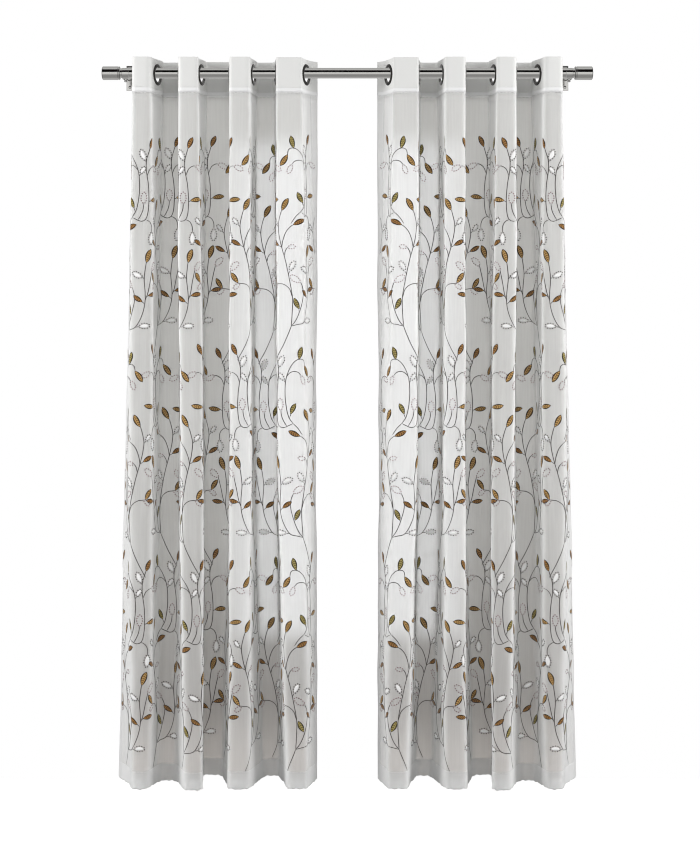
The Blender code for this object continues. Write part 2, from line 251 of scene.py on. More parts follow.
# %% Which ray sees what
bands_and_wall = add_node(
    tree, "Mix", {0: wallwards, MIX_A: bands.outputs[0], MIX_B: grey(WALL_GREY)}, data_type="RGBA"
).outputs[MIXED]
mirrored = add_node(
    tree, "VectorMath", {0: bands_and_wall, "Scale": side_share}, operation="SCALE"
).outputs[0]
even = add_node(
    tree, "Mix", {0: wallwards, MIX_A: grey(EVEN_LIGHT), MIX_B: grey(WALL_LIGHT)}, data_type="RGBA"
).outputs[MIXED]
behind = add_node(
    tree, "Mix", {0: daylight, MIX_A: shades.outputs[0], MIX_B: grey(DAYLIGHT)}, data_type="RGBA"
).outputs[MIXED]
seen = add_node(
    tree, "Mix", {0: behind_cloth, MIX_A: grey(1.0), MIX_B: behind}, data_type="RGBA"
).outputs[MIXED]
lit = add_node(
    tree, "Mix", {0: path["Is Glossy Ray"], MIX_A: even, MIX_B: mirrored}, data_type="RGBA"
).outputs[MIXED]
light = add_node(
    tree, "Mix", {0: path["Is Camera Ray"], MIX_A: lit, MIX_B: seen}, data_type="RGBA"
).outputs[MIXED]
background = add_node(tree, "Background", {"Color": light})
add_node(tree, "OutputWorld", {"Surface": background.outputs[0]})
print("the world has", len(tree.nodes), "nodes in all")

# %% [markdown]
# ## Soft boxes and the floor
#
# Two tall soft boxes stand at the sides, a dim one hangs above, and one behind the part lifts its
# inner folds. Light that comes from the sides reaches the crests of the folds and is stopped by
# their walls, so the crests read bright and the recesses between them dark. The floor is plain and
# white. It ends just behind the wall's plane. Nothing here shows in polished metal.

# %% Lights and floor
SOFT_BOXES = (  # name, place, width, height, watts
    ("soft_box_left", (-3.2, -1.3, -0.2), 1.6, 3.0, 82),
    ("soft_box_right", (3.2, -1.3, -0.2), 1.6, 3.0, 82),
    ("soft_box_above", (0, -2.2, 1.8), 3.6, 1.2, 12),
    ("daylight_behind", (0, 1.1, -0.7), 1.0, 1.7, 12),
)
LIT_MIDDLE = Vector((0, -ROD_STANDOFF, -0.9))
FLOOR_HEIGHT = -2.118
FLOOR_EDGES = (-3.5, 3.5, -3.8, 0.02)  # left, right, front, back

for name, place, width, height, watts in SOFT_BOXES:
    data = bpy.data.lights.new(name, "AREA")
    data.shape = "RECTANGLE"
    data.size, data.size_y, data.energy = width, height, watts
    soft_box = bpy.data.objects.new(name, data)
    soft_box.location = place
    soft_box.rotation_euler = (LIT_MIDDLE - Vector(place)).to_track_quat("-Z", "Y").to_euler()
    soft_box.visible_glossy = False
    soft_box.visible_camera = False
    bpy.context.scene.collection.objects.link(soft_box)

floor_finish, tree, shader = new_material(
    "painted_floor",
    Base_Color=linear("#F4F4F2"),
    Roughness=0.9,
    Emission_Color=grey(1.0),
    Emission_Strength=0.72,
)
left, right, front, back = FLOOR_EDGES
floor_mesh = bpy.data.meshes.new("floor")
floor_corners = [(left, front), (right, front), (right, back), (left, back)]
floor_mesh.from_pydata([(*corner, FLOOR_HEIGHT) for corner in floor_corners], [], [(0, 1, 2, 3)])
floor_mesh.materials.append(floor_finish)
floor = bpy.data.objects.new("floor", floor_mesh)
floor.visible_glossy = False
floor.visible_diffuse = False
bpy.context.scene.collection.objects.link(floor)
floor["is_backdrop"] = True
print("the floor is", right - left, "by", back - front, "m")

# %% [markdown]
# ## How the cloth hangs
#
# A panel is 1.321 m of cloth by 2.134 m, threaded on the rod through eight eyelets, so it stands
# in seven folds. The tables give where each eyelet is and how its cloth leans, and where each
# fold's crest starts and ends at the heading, halfway down and at the hem. They are measured out
# from the middle of the rod, and depth is how far behind the rod the cloth stands. The two panels
# mirror each other.

# %% The sizes of the cloth and its folds
SIDES = {"left": -1, "right": 1}
PANEL_WIDTH = 1.321
PANEL_LENGTH = 2.134
HEADING_HEIGHT = 0.102
HEADING_TOP = 0.040
HEADING_FOOT = HEADING_TOP - HEADING_HEIGHT
HEM_FOOT = HEADING_TOP - PANEL_LENGTH
EYELET_COUNT = 8
SIDE_MARGIN = 0.062
EYELET_PITCH = (PANEL_WIDTH - 2 * SIDE_MARGIN) / (EYELET_COUNT - 1)
GRIP = 0.036  # straight cloth on each side of an eyelet's middle
CORNER_RADIUS_GRIP = 0.015  # beside an eyelet
CORNER_RADIUS_FRONT = 0.023
CORNER_RADIUS_BACK = 0.036
CORNER_RADIUS_HEM = 0.026

EYELETS = (
    # out, lean in degrees
    (0.630, -3),
    (0.561, 18),
    (0.496, -2),
    (0.431, 15),
    (0.347, -2),
    (0.278, 11),
    (0.211, -7),
    (0.122, 21),
)
FOLDS = (
    # heading, halfway, hem, hem depth
    ((0.628, 0.575), (0.635, 0.572), (0.623, 0.585), -0.066),
    ((0.554, 0.498), (0.560, 0.498), (0.550, 0.515), 0.028),
    ((0.492, 0.433), (0.488, 0.422), (0.469, 0.419), -0.076),
    ((0.423, 0.348), (0.430, 0.350), (0.438, 0.375), 0.078),
    ((0.344, 0.284), (0.344, 0.285), (0.346, 0.288), -0.066),
    ((0.272, 0.217), (0.273, 0.209), (0.248, 0.204), 0.072),
    ((0.209, 0.132), (0.203, 0.124), (0.173, 0.120), -0.068),
)
OUTER_EDGE = {"halfway": (0.662, 0.066), "hem": (0.685, 0.072)}
INNER_EDGE = {"heading": (0.0896, 0.0516), "halfway": (0.092, 0.050), "hem": (0.091, 0.047)}
print("eyelets are", round(EYELET_PITCH * 1000, 1), "mm apart along the cloth")

# %% [markdown]
# Seen from above, the panel is one path with rounded corners. At the heading the path runs
# through each eyelet, and each fold is as deep as its length of cloth makes it. Lower down the
# three sets of corners blend into each other, and one factor on the depths keeps every level of
# the path exactly one panel wide, because cloth doesn't stretch.

# %% A path with rounded corners
HALVINGS = 36
CORNER_SHARE = 0.48  # of the shorter side beside a corner, the most that its curve takes


def solve(measure, target, low, high):
    """The value between low and high at which a rising measure reaches its target."""
    for _ in range(HALVINGS):
        middle = (low + high) / 2
        if measure(middle) < target:
            low = middle
        else:
            high = middle
    return (low + high) / 2


def rounded(corners, radius, steps=8):
    """A path through the corners, each turned into a curve of about this radius, or these radii."""
    before, corner, after = corners[:-2], corners[1:-1], corners[2:]
    back, ahead = before - corner, after - corner
    back_length = np.linalg.norm(back, axis=1, keepdims=True)
    ahead_length = np.linalg.norm(ahead, axis=1, keepdims=True)
    back, ahead = back / back_length, ahead / ahead_length
    turn = math.pi - np.arccos(np.clip((back * ahead).sum(1, keepdims=True), -1, 1))
    radius = np.broadcast_to(radius, len(corner))[:, None]
    cut = np.minimum(radius * np.tan(turn / 2), CORNER_SHARE * np.minimum(back_length, ahead_length))
    shares = np.linspace(0, 1, steps + 1)[:, None, None]
    curves = corner + cut * ((1 - shares) ** 2 * back + shares**2 * ahead)
    return np.concatenate([corners[:1], curves.transpose(1, 0, 2).reshape(-1, 2), corners[-1:]])


def distances(path):
    """How far along the path each of its points is."""
    return np.concatenate([[0], np.cumsum(np.linalg.norm(np.diff(path, axis=0), axis=1))])


elbow = rounded(np.array([(0, 0), (1, 0), (1, 1)]), 0.1)
print("a path with one corner has", len(elbow), "points and is", round(distances(elbow)[-1], 3), "long")

# %% The panel seen from above
FACTORS = (0.5, 1.5)  # between which the factor on the depths lies


def backwards(index):
    """The direction of the cloth at an eyelet, from front to back."""
    lean = math.radians(EYELETS[index][1])
    return np.array([-math.sin(lean), math.cos(lean)])


def heading_corners():
    """The corners at the heading, with each crest as deep as the cloth between two eyelets allows."""
    middles = [np.array([out, 0.0]) for out, lean in EYELETS]
    grips = []
    for index, middle in enumerate(middles):
        reach = (-GRIP if index % 2 == 0 else GRIP) * backwards(index)
        grips.append((middle - reach, middle + reach))
    corners = [middles[0] + SIDE_MARGIN * backwards(0), *grips[0]]
    for index, row in enumerate(FOLDS):
        toward = -1 if index % 2 == 0 else 1
        outer, inner = row[0]
        crest_radius = CORNER_RADIUS_FRONT if toward < 0 else CORNER_RADIUS_BACK
        radii = np.array([CORNER_RADIUS_GRIP, crest_radius, crest_radius, CORNER_RADIUS_GRIP])

        def fold(depth):
            crest = [(outer, toward * depth), (inner, toward * depth)]
            start, end = (middles[index], grips[index][1]), (grips[index + 1][0], middles[index + 1])
            return np.array([*start, *crest, *end])

        depth = solve(
            lambda tried: distances(rounded(fold(tried), radii))[-1],
            EYELET_PITCH,
            GRIP,
            2 * GRIP + EYELET_PITCH / 2,
        )
        corners += [*fold(depth)[2:4], *grips[index + 1]]
    return np.array([*corners, INNER_EDGE["heading"]])


def lower_corners(place, column, depths):
    """The same corners lower down, where the cloth between two crests hangs straight."""
    crests = [np.array(OUTER_EDGE[place])]
    for row, depth in zip(FOLDS, depths):
        crests += [np.array([out, depth]) for out in row[column]]
    crests.append(np.array(INNER_EDGE[place]))
    corners = []
    for start, end in zip(crests[::2], crests[1::2]):
        corners += [start, start + (end - start) / 3, end + (start - end) / 3, end]
    return np.array(corners)


HEADING_CORNERS = heading_corners()
HEADING_RADII = np.full(len(HEADING_CORNERS) - 2, CORNER_RADIUS_GRIP)
for index in range(len(FOLDS)):
    crest = slice(2 + 4 * index, 4 + 4 * index)
    HEADING_RADII[crest] = CORNER_RADIUS_FRONT if index % 2 == 0 else CORNER_RADIUS_BACK
HEADING_DEPTHS = [HEADING_CORNERS[3 + 4 * index][1] for index in range(len(FOLDS))]
HEM_DEPTHS = [row[3] for row in FOLDS]
HALFWAY_CORNERS = lower_corners("halfway", 1, np.mean([HEADING_DEPTHS, HEM_DEPTHS], axis=0))
HEM_CORNERS = lower_corners("hem", 2, HEM_DEPTHS)


def plan(drop):
    """The panel seen from above at a drop of 0, the heading's foot, to 1, the hem."""
    corners = (
        HEADING_CORNERS * (1 - drop) * (1 - 2 * drop)
        + HALFWAY_CORNERS * 4 * drop * (1 - drop)
        + HEM_CORNERS * drop * (2 * drop - 1)
    )
    radius = HEADING_RADII + (CORNER_RADIUS_HEM - HEADING_RADII) * drop
    factor = solve(
        lambda tried: distances(rounded(corners * [1, tried], radius))[-1], PANEL_WIDTH, *FACTORS
    )
    return rounded(corners * [1, factor], radius)


print("fold depths at the heading, mm:", [round(depth * 1000) for depth in HEADING_DEPTHS])

# %% [markdown]
# Everything on the cloth is drawn flat first, as (across, height, lift): how far across the cut
# width, at what height, and how far off the cloth's middle. One function then hangs it. It looks
# up the path for each height, steps off it along its normal, and adds the slow shallow ripples of
# a thin cloth that no tape or weight holds flat.

# %% Hanging flat points
DROP_STEPS = 48
WIDTH_STEPS = 528  # 2.5 mm
LEVELS = np.linspace(0, 1, DROP_STEPS + 1)
ACROSS = np.linspace(0, PANEL_WIDTH, WIDTH_STEPS + 1)
RIPPLES = (  # mm off the cloth, mm across from wave to wave, mm down, lean, start
    (1.5, 127, 1350, 0.35, 0.4),
    (0.9, 83, 760, -0.55, 2.1),
    (0.45, 47, 410, 0.30, 4.0),
)
RIPPLE_START = 0.30  # m below the heading by which the ripples are full


def level_path(drop):
    """The panel seen from above at one drop, at even steps of its cloth."""
    path = plan(drop)
    travelled = distances(path) * PANEL_WIDTH / distances(path)[-1]
    return np.stack([np.interp(ACROSS, travelled, path[:, axis]) for axis in (0, 1)], axis=1)


PATHS = np.array([level_path(drop) for drop in LEVELS])
RUNS = np.gradient(PATHS, axis=1)
FACES = np.stack([-RUNS[..., 1], RUNS[..., 0]], axis=-1)  # towards the room
FACES /= np.linalg.norm(FACES, axis=-1, keepdims=True)


def ripple(across, height):
    """How far the cloth stands off its smooth hang."""
    full = np.clip((HEADING_FOOT - height) / RIPPLE_START, 0, 1)
    total = 0
    for rise, wide, long, lean, start in RIPPLES:
        turn = across * 1000 / wide + lean * np.sin(2 * math.pi * height * 1000 / long + start)
        total = total + rise / 1000 * np.sin(2 * math.pi * turn + start)
    return total * full * full * (3 - 2 * full)


def hang(side, across, height, lift=0.0):
    """Where points of flat cloth are once the panel hangs, as an array of x, y, z."""
    across, height = np.broadcast_arrays(np.asarray(across, float), np.asarray(height, float))
    row = np.clip((HEADING_FOOT - height) / (HEADING_FOOT - HEM_FOOT), 0, 1) * DROP_STEPS
    column = np.clip(across / PANEL_WIDTH, 0, 1) * WIDTH_STEPS
    top, start = np.minimum(row.astype(int), DROP_STEPS - 1), np.minimum(column.astype(int), WIDTH_STEPS - 1)
    down, along = (row - top)[..., None], (column - start)[..., None]

    def between(table):
        upper = table[top, start] * (1 - along) + table[top, start + 1] * along
        lower = table[top + 1, start] * (1 - along) + table[top + 1, start + 1] * along
        return upper * (1 - down) + lower * down

    off = (ripple(across, height) + lift)[..., None]
    place = between(PATHS) + off * between(FACES)
    return np.stack([side * place[..., 0], place[..., 1] - ROD_STANDOFF, height], axis=-1)


print("the cloth is looked up at", PATHS.shape[0], "levels and", PATHS.shape[1], "columns")

# %% [markdown]
# ## Meshes of cloth
#
# A curtain is thin but it isn't a plane: a renderer and a printer both want a closed solid. Each
# sheet is two grids, a face and a back, a thread's thickness apart and joined round the edge. The
# UV map holds metres across and metres above the hem, so that a pattern of a real size needs no
# scaling.

# %% A closed sheet
FOOT_WAVES = ((0.0010, 0.0190, 0.5), (0.0008, 0.0310, 2.0), (0.0012, 0.1370, 4.0))  # up, across, start
FOOT_REACH = 0.020  # how high above the foot the cloth follows them


def add_mesh(name, points, faces, uv, finishes):
    """An object with a smooth mesh and a UV map that has one value for each point."""
    mesh = bpy.data.meshes.new(name)
    mesh.from_pydata(points.tolist(), [], faces.tolist() if hasattr(faces, "tolist") else faces)
    for finish in finishes:
        mesh.materials.append(finish)
    corners = np.zeros(len(mesh.loops), np.int32)
    mesh.loops.foreach_get("vertex_index", corners)
    mesh.uv_layers.new(name="flat").data.foreach_set("uv", uv[corners].astype(np.float32).ravel())
    mesh.shade_smooth()
    made = bpy.data.objects.new(name, mesh)
    made.visible_glossy = False  # polished metal mirrors the studio alone
    bpy.context.scene.collection.objects.link(made)
    return made


def closed_grid(rows, columns):
    """The faces of a grid of points, of a second grid behind it, and of the rim between them."""
    corner = np.arange(rows * columns).reshape(rows, columns)
    quads = np.stack([corner[:-1, :-1], corner[1:, :-1], corner[1:, 1:], corner[:-1, 1:]], axis=-1)
    face = quads.reshape(-1, 4)
    loop = np.concatenate([corner[0, :-1], corner[:-1, -1], corner[-1, :0:-1], corner[:0:-1, 0]])
    ahead = np.roll(loop, -1)
    rim = np.stack([loop, ahead, ahead + corner.size, loop + corner.size], axis=1)
    return np.concatenate([face, face[:, ::-1] + corner.size, rim])


def foot_wander(across, heights):
    """How far the edge of the bottom hem strays from straight."""
    near = np.clip((HEM_FOOT + FOOT_REACH - heights) / FOOT_REACH, 0, 1)
    waves = sum(rise * np.sin(2 * math.pi * across / wide + start) for rise, wide, start in FOOT_WAVES)
    return near * waves


def add_sheet(name, side, across, heights, thickness, finish):
    """A closed sheet of cloth on a grid. thickness is one number for each point of the grid."""
    across, heights = np.meshgrid(across, heights)
    heights = heights + foot_wander(across, heights)
    faces = closed_grid(*across.shape)
    if side > 0:
        faces = faces[:, ::-1]
    points = [hang(side, across, heights, lift).reshape(-1, 3) for lift in (thickness / 2, -thickness / 2)]
    flat = np.stack([across, heights - HEM_FOOT], axis=-1).reshape(-1, 2)
    return add_mesh(name, np.concatenate(points), faces, np.tile(flat, (2, 1)), [finish])


def stand_for(piece, node):
    """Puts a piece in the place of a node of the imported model."""
    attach(piece, "root")
    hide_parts(node)


print("a grid of 3 by 3 points is closed with", len(closed_grid(3, 3)), "faces")

# %% [markdown]
# ## Polyester voile
#
# Voile is a plain weave of fine, tightly twisted polyester yarn with gaps between the threads, so
# about a third of what is behind it shows. It gives the eye a soft grey veil, with no gloss. Seen
# at a slant, the same threads cover more: that is why the walls of a fold read as bright lines.
# The opacity follows from that: what passes through a sheet is raised to the power of its
# layers divided by the cosine of the slant. A hem is two layers.

# %% Voile
VOILE_OPEN = 0.60  # light that passes one face of the sheet head on
SIDE_HEM = 0.026
FOOT_HEM = 0.051
THREAD_MM = 1.6  # real voile has 0.45 mm between threads, too fine to show from here
SLUB_MM = (5, 120)  # thicker lengths of yarn, across and down
SLUB_LAYERS = (0.96, 1.04)  # how much cloth the thinnest and the thickest yarn counts for
EDGE_ON = 0.06  # the least cosine of the slant


def thread_waves(tree, flat, spacing_mm):
    """The plain weave's height, from 0 to 1: threads in both directions, from their spacing."""
    scale = 2 * math.pi * 1000 / spacing_mm
    turns = add_node(tree, "VectorMath", {0: flat, 1: (scale, scale, 0)}, operation="MULTIPLY")
    waves = add_node(tree, "VectorMath", {0: turns.outputs[0]}, operation="SINE")
    parts = add_node(tree, "SeparateXYZ", {0: waves.outputs[0]}).outputs
    both = add_node(tree, "Math", {0: parts[0], 1: parts[1]}, operation="MULTIPLY").outputs[0]
    return add_node(tree, "MapRange", {"Value": both, "From Min": -1.0}).outputs[0]


voile, tree, shader = new_material(
    "polyester_voile",
    Base_Color=linear("#FAFAF8"),
    Roughness=0.75,
    Sheen_Weight=0.3,
    Sheen_Roughness=0.4,
    Specular_IOR_Level=0.2,
    Subsurface_Weight=0.7,
    Subsurface_Radius=(1, 1, 1),
    Subsurface_Scale=0.001,
)
flat = add_node(tree, "UVMap", uv_map="flat").outputs[0]
place = add_node(tree, "SeparateXYZ", {0: flat}).outputs
from_middle = add_node(tree, "Math", {0: place["X"], 1: PANEL_WIDTH / 2}, operation="SUBTRACT").outputs[0]
out_from_middle = add_node(tree, "Math", {0: from_middle}, operation="ABSOLUTE").outputs[0]
side_hem = add_node(
    tree, "Math", {0: out_from_middle, 1: PANEL_WIDTH / 2 - SIDE_HEM}, operation="GREATER_THAN"
).outputs[0]
foot_hem = add_node(tree, "Math", {0: place["Y"], 1: FOOT_HEM}, operation="LESS_THAN").outputs[0]
hem = add_node(tree, "Math", {0: side_hem, 1: foot_hem}, operation="MAXIMUM").outputs[0]
slub_scale = (*(1000 / size for size in SLUB_MM), 1)
slub_place = add_node(tree, "VectorMath", {0: flat, 1: slub_scale}, operation="MULTIPLY").outputs[0]
slubs = add_node(tree, "TexNoise", {"Vector": slub_place, "Scale": 1.0, "Detail": 2.0}).outputs[0]
least, most = SLUB_LAYERS
slub_layers = add_node(
    tree, "MapRange", {"Value": slubs, "From Min": 0.3, "From Max": 0.7, "To Min": least, "To Max": most}
).outputs[0]
layers = add_node(tree, "Math", {0: slub_layers, 1: hem}, operation="ADD").outputs[0]
slant = add_node(tree, "LayerWeight", {"Blend": 0.5}).outputs["Facing"]
cosine = add_node(tree, "MapRange", {"Value": slant, "To Min": 1.0, "To Max": EDGE_ON}).outputs[0]
crossed = add_node(tree, "Math", {0: layers, 1: cosine}, operation="DIVIDE").outputs[0]
passed = add_node(tree, "Math", {0: VOILE_OPEN, 1: crossed}, operation="POWER").outputs[0]
cover = add_node(tree, "Math", {0: 1.0, 1: passed}, operation="SUBTRACT").outputs[0]
tree.links.new(cover, shader.inputs["Alpha"])
weave = thread_waves(tree, flat, THREAD_MM)
bump = add_node(tree, "Bump", {"Height": weave, "Strength": 0.15, "Distance": 0.0003})
tree.links.new(bump.outputs[0], shader.inputs["Normal"])
print("head on, two faces let through", round(VOILE_OPEN**2, 2), "of the light")

# %% [markdown]
# ## The two panels
#
# The grid is 5 mm across, fine enough for the round of a fold, and 25 mm down. The cloth is drawn
# 0.5 mm thick, and about twice that in its hems. The foot wanders by up to 3 mm, as a hem does.

# %% Voile panels
VOILE_THICKNESS = 0.0005
HEM_THICKNESS = 0.0011
HEM_STEP = 0.002  # over which the thickness changes
GAP = 0.0004
PANEL_COLUMNS = 264
PANEL_ROWS = 80

panel_heights = np.concatenate(
    [
        np.linspace(HEADING_FOOT - GAP, HEM_FOOT + FOOT_HEM + HEM_STEP, PANEL_ROWS),
        HEM_FOOT + FOOT_HEM - np.array([HEM_STEP, 0.018, 0.034, 0.048, FOOT_HEM]),
    ]
)
hem_edges = SIDE_HEM + np.array([-HEM_STEP, HEM_STEP]) / 2
panel_across = np.unique(np.concatenate([np.linspace(0, PANEL_WIDTH, PANEL_COLUMNS + 1), hem_edges]))
grid_across, grid_heights = np.meshgrid(panel_across, panel_heights)
in_side_hem = np.minimum(grid_across, PANEL_WIDTH - grid_across) < SIDE_HEM
in_hem = np.maximum(in_side_hem, grid_heights < HEM_FOOT + FOOT_HEM).astype(float)
panel_thickness = VOILE_THICKNESS + (HEM_THICKNESS - VOILE_THICKNESS) * in_hem
panels = {}
for word, side in SIDES.items():
    panels[word] = add_sheet(f"voile_{word}", side, panel_across, panel_heights, panel_thickness, voile)
    stand_for(panels[word], f"panel_{word}")
print("a panel has", len(panels["left"].data.polygons), "faces")

# %% [markdown]
# ## The heading
#
# The top 102 mm is an opaque woven strip with a stiffener inside, which carries the eyelets. Its
# lower edge is turned back into a 12 mm band, so it is brighter there. It is matt and dense: no
# light comes through.

# %% Heading cloth
BAND_HEIGHT = 0.012
heading_cloth, tree, shader = new_material(
    "stiffened_polyester_heading",
    Base_Color=linear("#F2F2F0"),
    Roughness=0.8,
    Sheen_Weight=0.1,
    Specular_IOR_Level=0.2,
)
flat = add_node(tree, "UVMap", uv_map="flat").outputs[0]
height = add_node(tree, "SeparateXYZ", {0: flat}).outputs["Y"]
band_top = HEADING_FOOT - HEM_FOOT + BAND_HEIGHT
band = add_node(tree, "Math", {0: height, 1: band_top}, operation="LESS_THAN").outputs[0]
colour = add_node(
    tree, "Mix", {0: band, MIX_A: linear("#F0F0EE"), MIX_B: linear("#FAFAFA")}, data_type="RGBA"
).outputs[MIXED]
tree.links.new(colour, shader.inputs["Base Color"])
weave = thread_waves(tree, flat, THREAD_MM)
bump = add_node(tree, "Bump", {"Height": weave, "Strength": 0.2, "Distance": 0.0003})
tree.links.new(bump.outputs[0], shader.inputs["Normal"])
print("the band's top is", round(band_top * 1000), "mm above the hem")

# %% Turning and cutting
HEADING_THICKNESS = 0.0014
BAND_THICKNESS = 0.0020
EYELET_BORE = 0.0210
EYELET_BARREL = 0.0232
EYELET_RIM = 0.0315
EYELET_DROP = 0.0049  # an eyelet hangs from the rod by its bore
HOLE_STEPS = 48


def eyelet_place(side, index):
    """An eyelet's middle, and the direction straight through it."""
    across = SIDE_MARGIN + index * EYELET_PITCH
    here, ahead = hang(side, [across, across + 0.001], [-EYELET_DROP, -EYELET_DROP])
    return Vector(here), Vector(ahead - here).cross(Vector((0, 0, 1))).normalized()


def turned(name, profile, steps, finish):
    """A closed ring or solid turned round Z from its outline of (radius, height)."""
    angles = np.linspace(0, 2 * math.pi, steps, endpoint=False)
    radius, height = np.array(profile).T
    around = [np.outer(np.cos(angles), radius), np.outer(np.sin(angles), radius)]
    points = np.stack([*around, np.tile(height, (steps, 1))], axis=-1).reshape(-1, 3)
    count = len(profile)
    corner = np.arange(steps * count).reshape(steps, count)
    ahead, beside = np.roll(corner, -1, axis=0), np.roll(corner, -1, axis=1)
    both = np.roll(ahead, -1, axis=1)
    faces = np.stack([corner, ahead, both, beside], axis=-1).reshape(-1, 4)
    travelled = np.concatenate([[0], np.cumsum(np.hypot(np.diff(radius), np.diff(height)))])
    uv = np.stack([np.repeat(angles, count) / (2 * math.pi), np.tile(travelled, steps)], axis=-1)
    made = add_mesh(name, points, faces, uv, [finish])
    if radius.min() == 0:
        drawing = bmesh.new()
        drawing.from_mesh(made.data)
        bmesh.ops.remove_doubles(drawing, verts=drawing.verts, dist=1e-6)
        drawing.to_mesh(made.data)
        drawing.free()
    return made


def stood(made, middle, along):
    """Moves a turned piece to its middle, with its own Z along a direction."""
    turn = Vector(along).to_track_quat("Z", "Y").to_matrix().to_4x4()
    made.matrix_world = Matrix.Translation(middle) @ turn
    return made


def combine(base, changes):
    """Joins helpers to the base or cuts them out of it, in order, and removes them."""
    for operation, helper in changes:
        change = base.modifiers.new("change", "BOOLEAN")
        change.operation = operation
        change.solver = "EXACT"
        change.object = helper
    bpy.context.view_layer.update()
    shaped = bpy.data.meshes.new_from_object(base.evaluated_get(bpy.context.evaluated_depsgraph_get()))
    base.modifiers.clear()
    base.data = shaped
    for _, helper in changes:
        bpy.data.objects.remove(helper, do_unlink=True)


print("the heading is", HEADING_HEIGHT * 1000, "mm tall")

# %% Headings with their holes
CUTTER_REACH = 0.006
MIDDLE_DROPS = np.linspace(0.016, 0.086, 8)
heading_drops = [0, 0.002, 0.008, *MIDDLE_DROPS, 0.0895, 0.0905, 0.096, HEADING_HEIGHT]
heading_heights = HEADING_TOP - np.array(heading_drops)
heading_across = np.linspace(0, PANEL_WIDTH, PANEL_COLUMNS + 1)
grid_heights = np.meshgrid(heading_across, heading_heights)[1]
in_band = (grid_heights < HEADING_FOOT + BAND_HEIGHT).astype(float)
heading_thickness = HEADING_THICKNESS + (BAND_THICKNESS - HEADING_THICKNESS) * in_band
hole_radius = EYELET_BARREL + GAP
hole = [(0, -CUTTER_REACH), (hole_radius, -CUTTER_REACH), (hole_radius, CUTTER_REACH), (0, CUTTER_REACH)]
for word, side in SIDES.items():
    heading = add_sheet(
        f"heading_cloth_{word}", side, heading_across, heading_heights, heading_thickness, heading_cloth
    )
    places = [eyelet_place(side, index) for index in range(EYELET_COUNT)]
    cutters = [stood(turned("hole", hole, HOLE_STEPS, heading_cloth), *place) for place in places]
    combine(heading, [("DIFFERENCE", cutter) for cutter in cutters])
    stand_for(heading, f"heading_{word}")
print("a heading has", len(heading.data.polygons), "faces")

# %% [markdown]
# ## Metal
#
# The eyelets are black nickel over pressed brass, and the rod with its fittings is satin nickel.
# Both platings are nearly smooth: a fine grain from brushing runs along the tube, and faint cloudy
# patches change how sharply the metal mirrors. What makes them read as metal is the studio's
# bands of light and dark.

# %% Platings
GRAIN_MM = (0.5, 0.5, 30)  # across the brushing, and along it
CLOUD_MM = 9
CLOUD_SHARES = (0.85, 1.15)  # of the roughness, in the sharpest and the dullest patches


def plated(name, colour, roughness, grain):
    """A plated metal whose roughness wanders in clouds, with a brushed grain on top."""
    made, tree, shader = new_material(name, Base_Color=linear(colour), Metallic=1.0)
    place = add_node(tree, "TexCoord").outputs["Object"]
    clouds = add_node(
        tree, "TexNoise", {"Vector": place, "Scale": 1000 / CLOUD_MM, "Detail": 2.0}
    ).outputs[0]
    low, high = (share * roughness for share in CLOUD_SHARES)
    rough = add_node(
        tree,
        "MapRange",
        {"Value": clouds, "From Min": 0.3, "From Max": 0.7, "To Min": low, "To Max": high},
    ).outputs[0]
    tree.links.new(rough, shader.inputs["Roughness"])
    stretch = tuple(1000 / size for size in GRAIN_MM)
    along = add_node(tree, "VectorMath", {0: place, 1: stretch}, operation="MULTIPLY").outputs[0]
    lines = add_node(tree, "TexNoise", {"Vector": along, "Scale": 1.0, "Detail": 1.0}).outputs[0]
    bump = add_node(tree, "Bump", {"Height": lines, "Strength": grain, "Distance": 0.00005})
    tree.links.new(bump.outputs[0], shader.inputs["Normal"])
    return made


black_nickel = plated("black_nickel_plate", "#6E6C69", 0.26, 0.1)
satin_nickel = plated("satin_nickel_plate", "#C6C5C2", 0.16, 0.08)
print("platings:", black_nickel.name, "and", satin_nickel.name)

# %% Eyelets
grip = HEADING_THICKNESS / 2 + 0.0003
EYELET_OUTLINE = (  # radius, distance from the middle of the cloth
    (EYELET_BORE, 0.0018),
    (EYELET_BORE + 0.0005, 0.0029),
    (EYELET_BORE + 0.0018, 0.0034),
    (EYELET_BORE + 0.0045, 0.0032),
    (EYELET_RIM - 0.0022, 0.0024),
    (EYELET_RIM - 0.0004, grip + 0.0008),
    (EYELET_RIM, grip + 0.0004),
    (EYELET_RIM - 0.0002, grip),
    (EYELET_BARREL, grip),
)
outline = [*EYELET_OUTLINE, *((radius, -height) for radius, height in EYELET_OUTLINE[::-1])]
for word, side in SIDES.items():
    for index in range(EYELET_COUNT):
        eyelet = turned(f"eyelet_ring_{word}_{index + 1}", outline, HOLE_STEPS, black_nickel)
        stood(eyelet, *eyelet_place(side, index))
        stand_for(eyelet, f"eyelet_{word}_{index + 1}")
print("an eyelet has", len(eyelet.data.polygons), "faces")

# %% [markdown]
# ## Rod, finials and brackets
#
# A long face takes its shading from its far ends, so every turned outline has a second point close
# to each edge. That keeps the rounded edge's shading out of the straight length. The finial is a
# cylinder with eased edges, a groove near its inner end and a neck against the rod. A bracket is a
# plate with eased edges, an arm that flares where it meets the plate, and an open cradle.

# %% Rod and finials
ROD_RADIUS = 0.0155
ROD_WALL = 0.001
ROD_HALF_LENGTH = 0.664
ROUND_STEPS = 96
EASE = 0.0003
FINIAL_EASE = 0.0008
ALONG_ROD = (1, 0, 0)


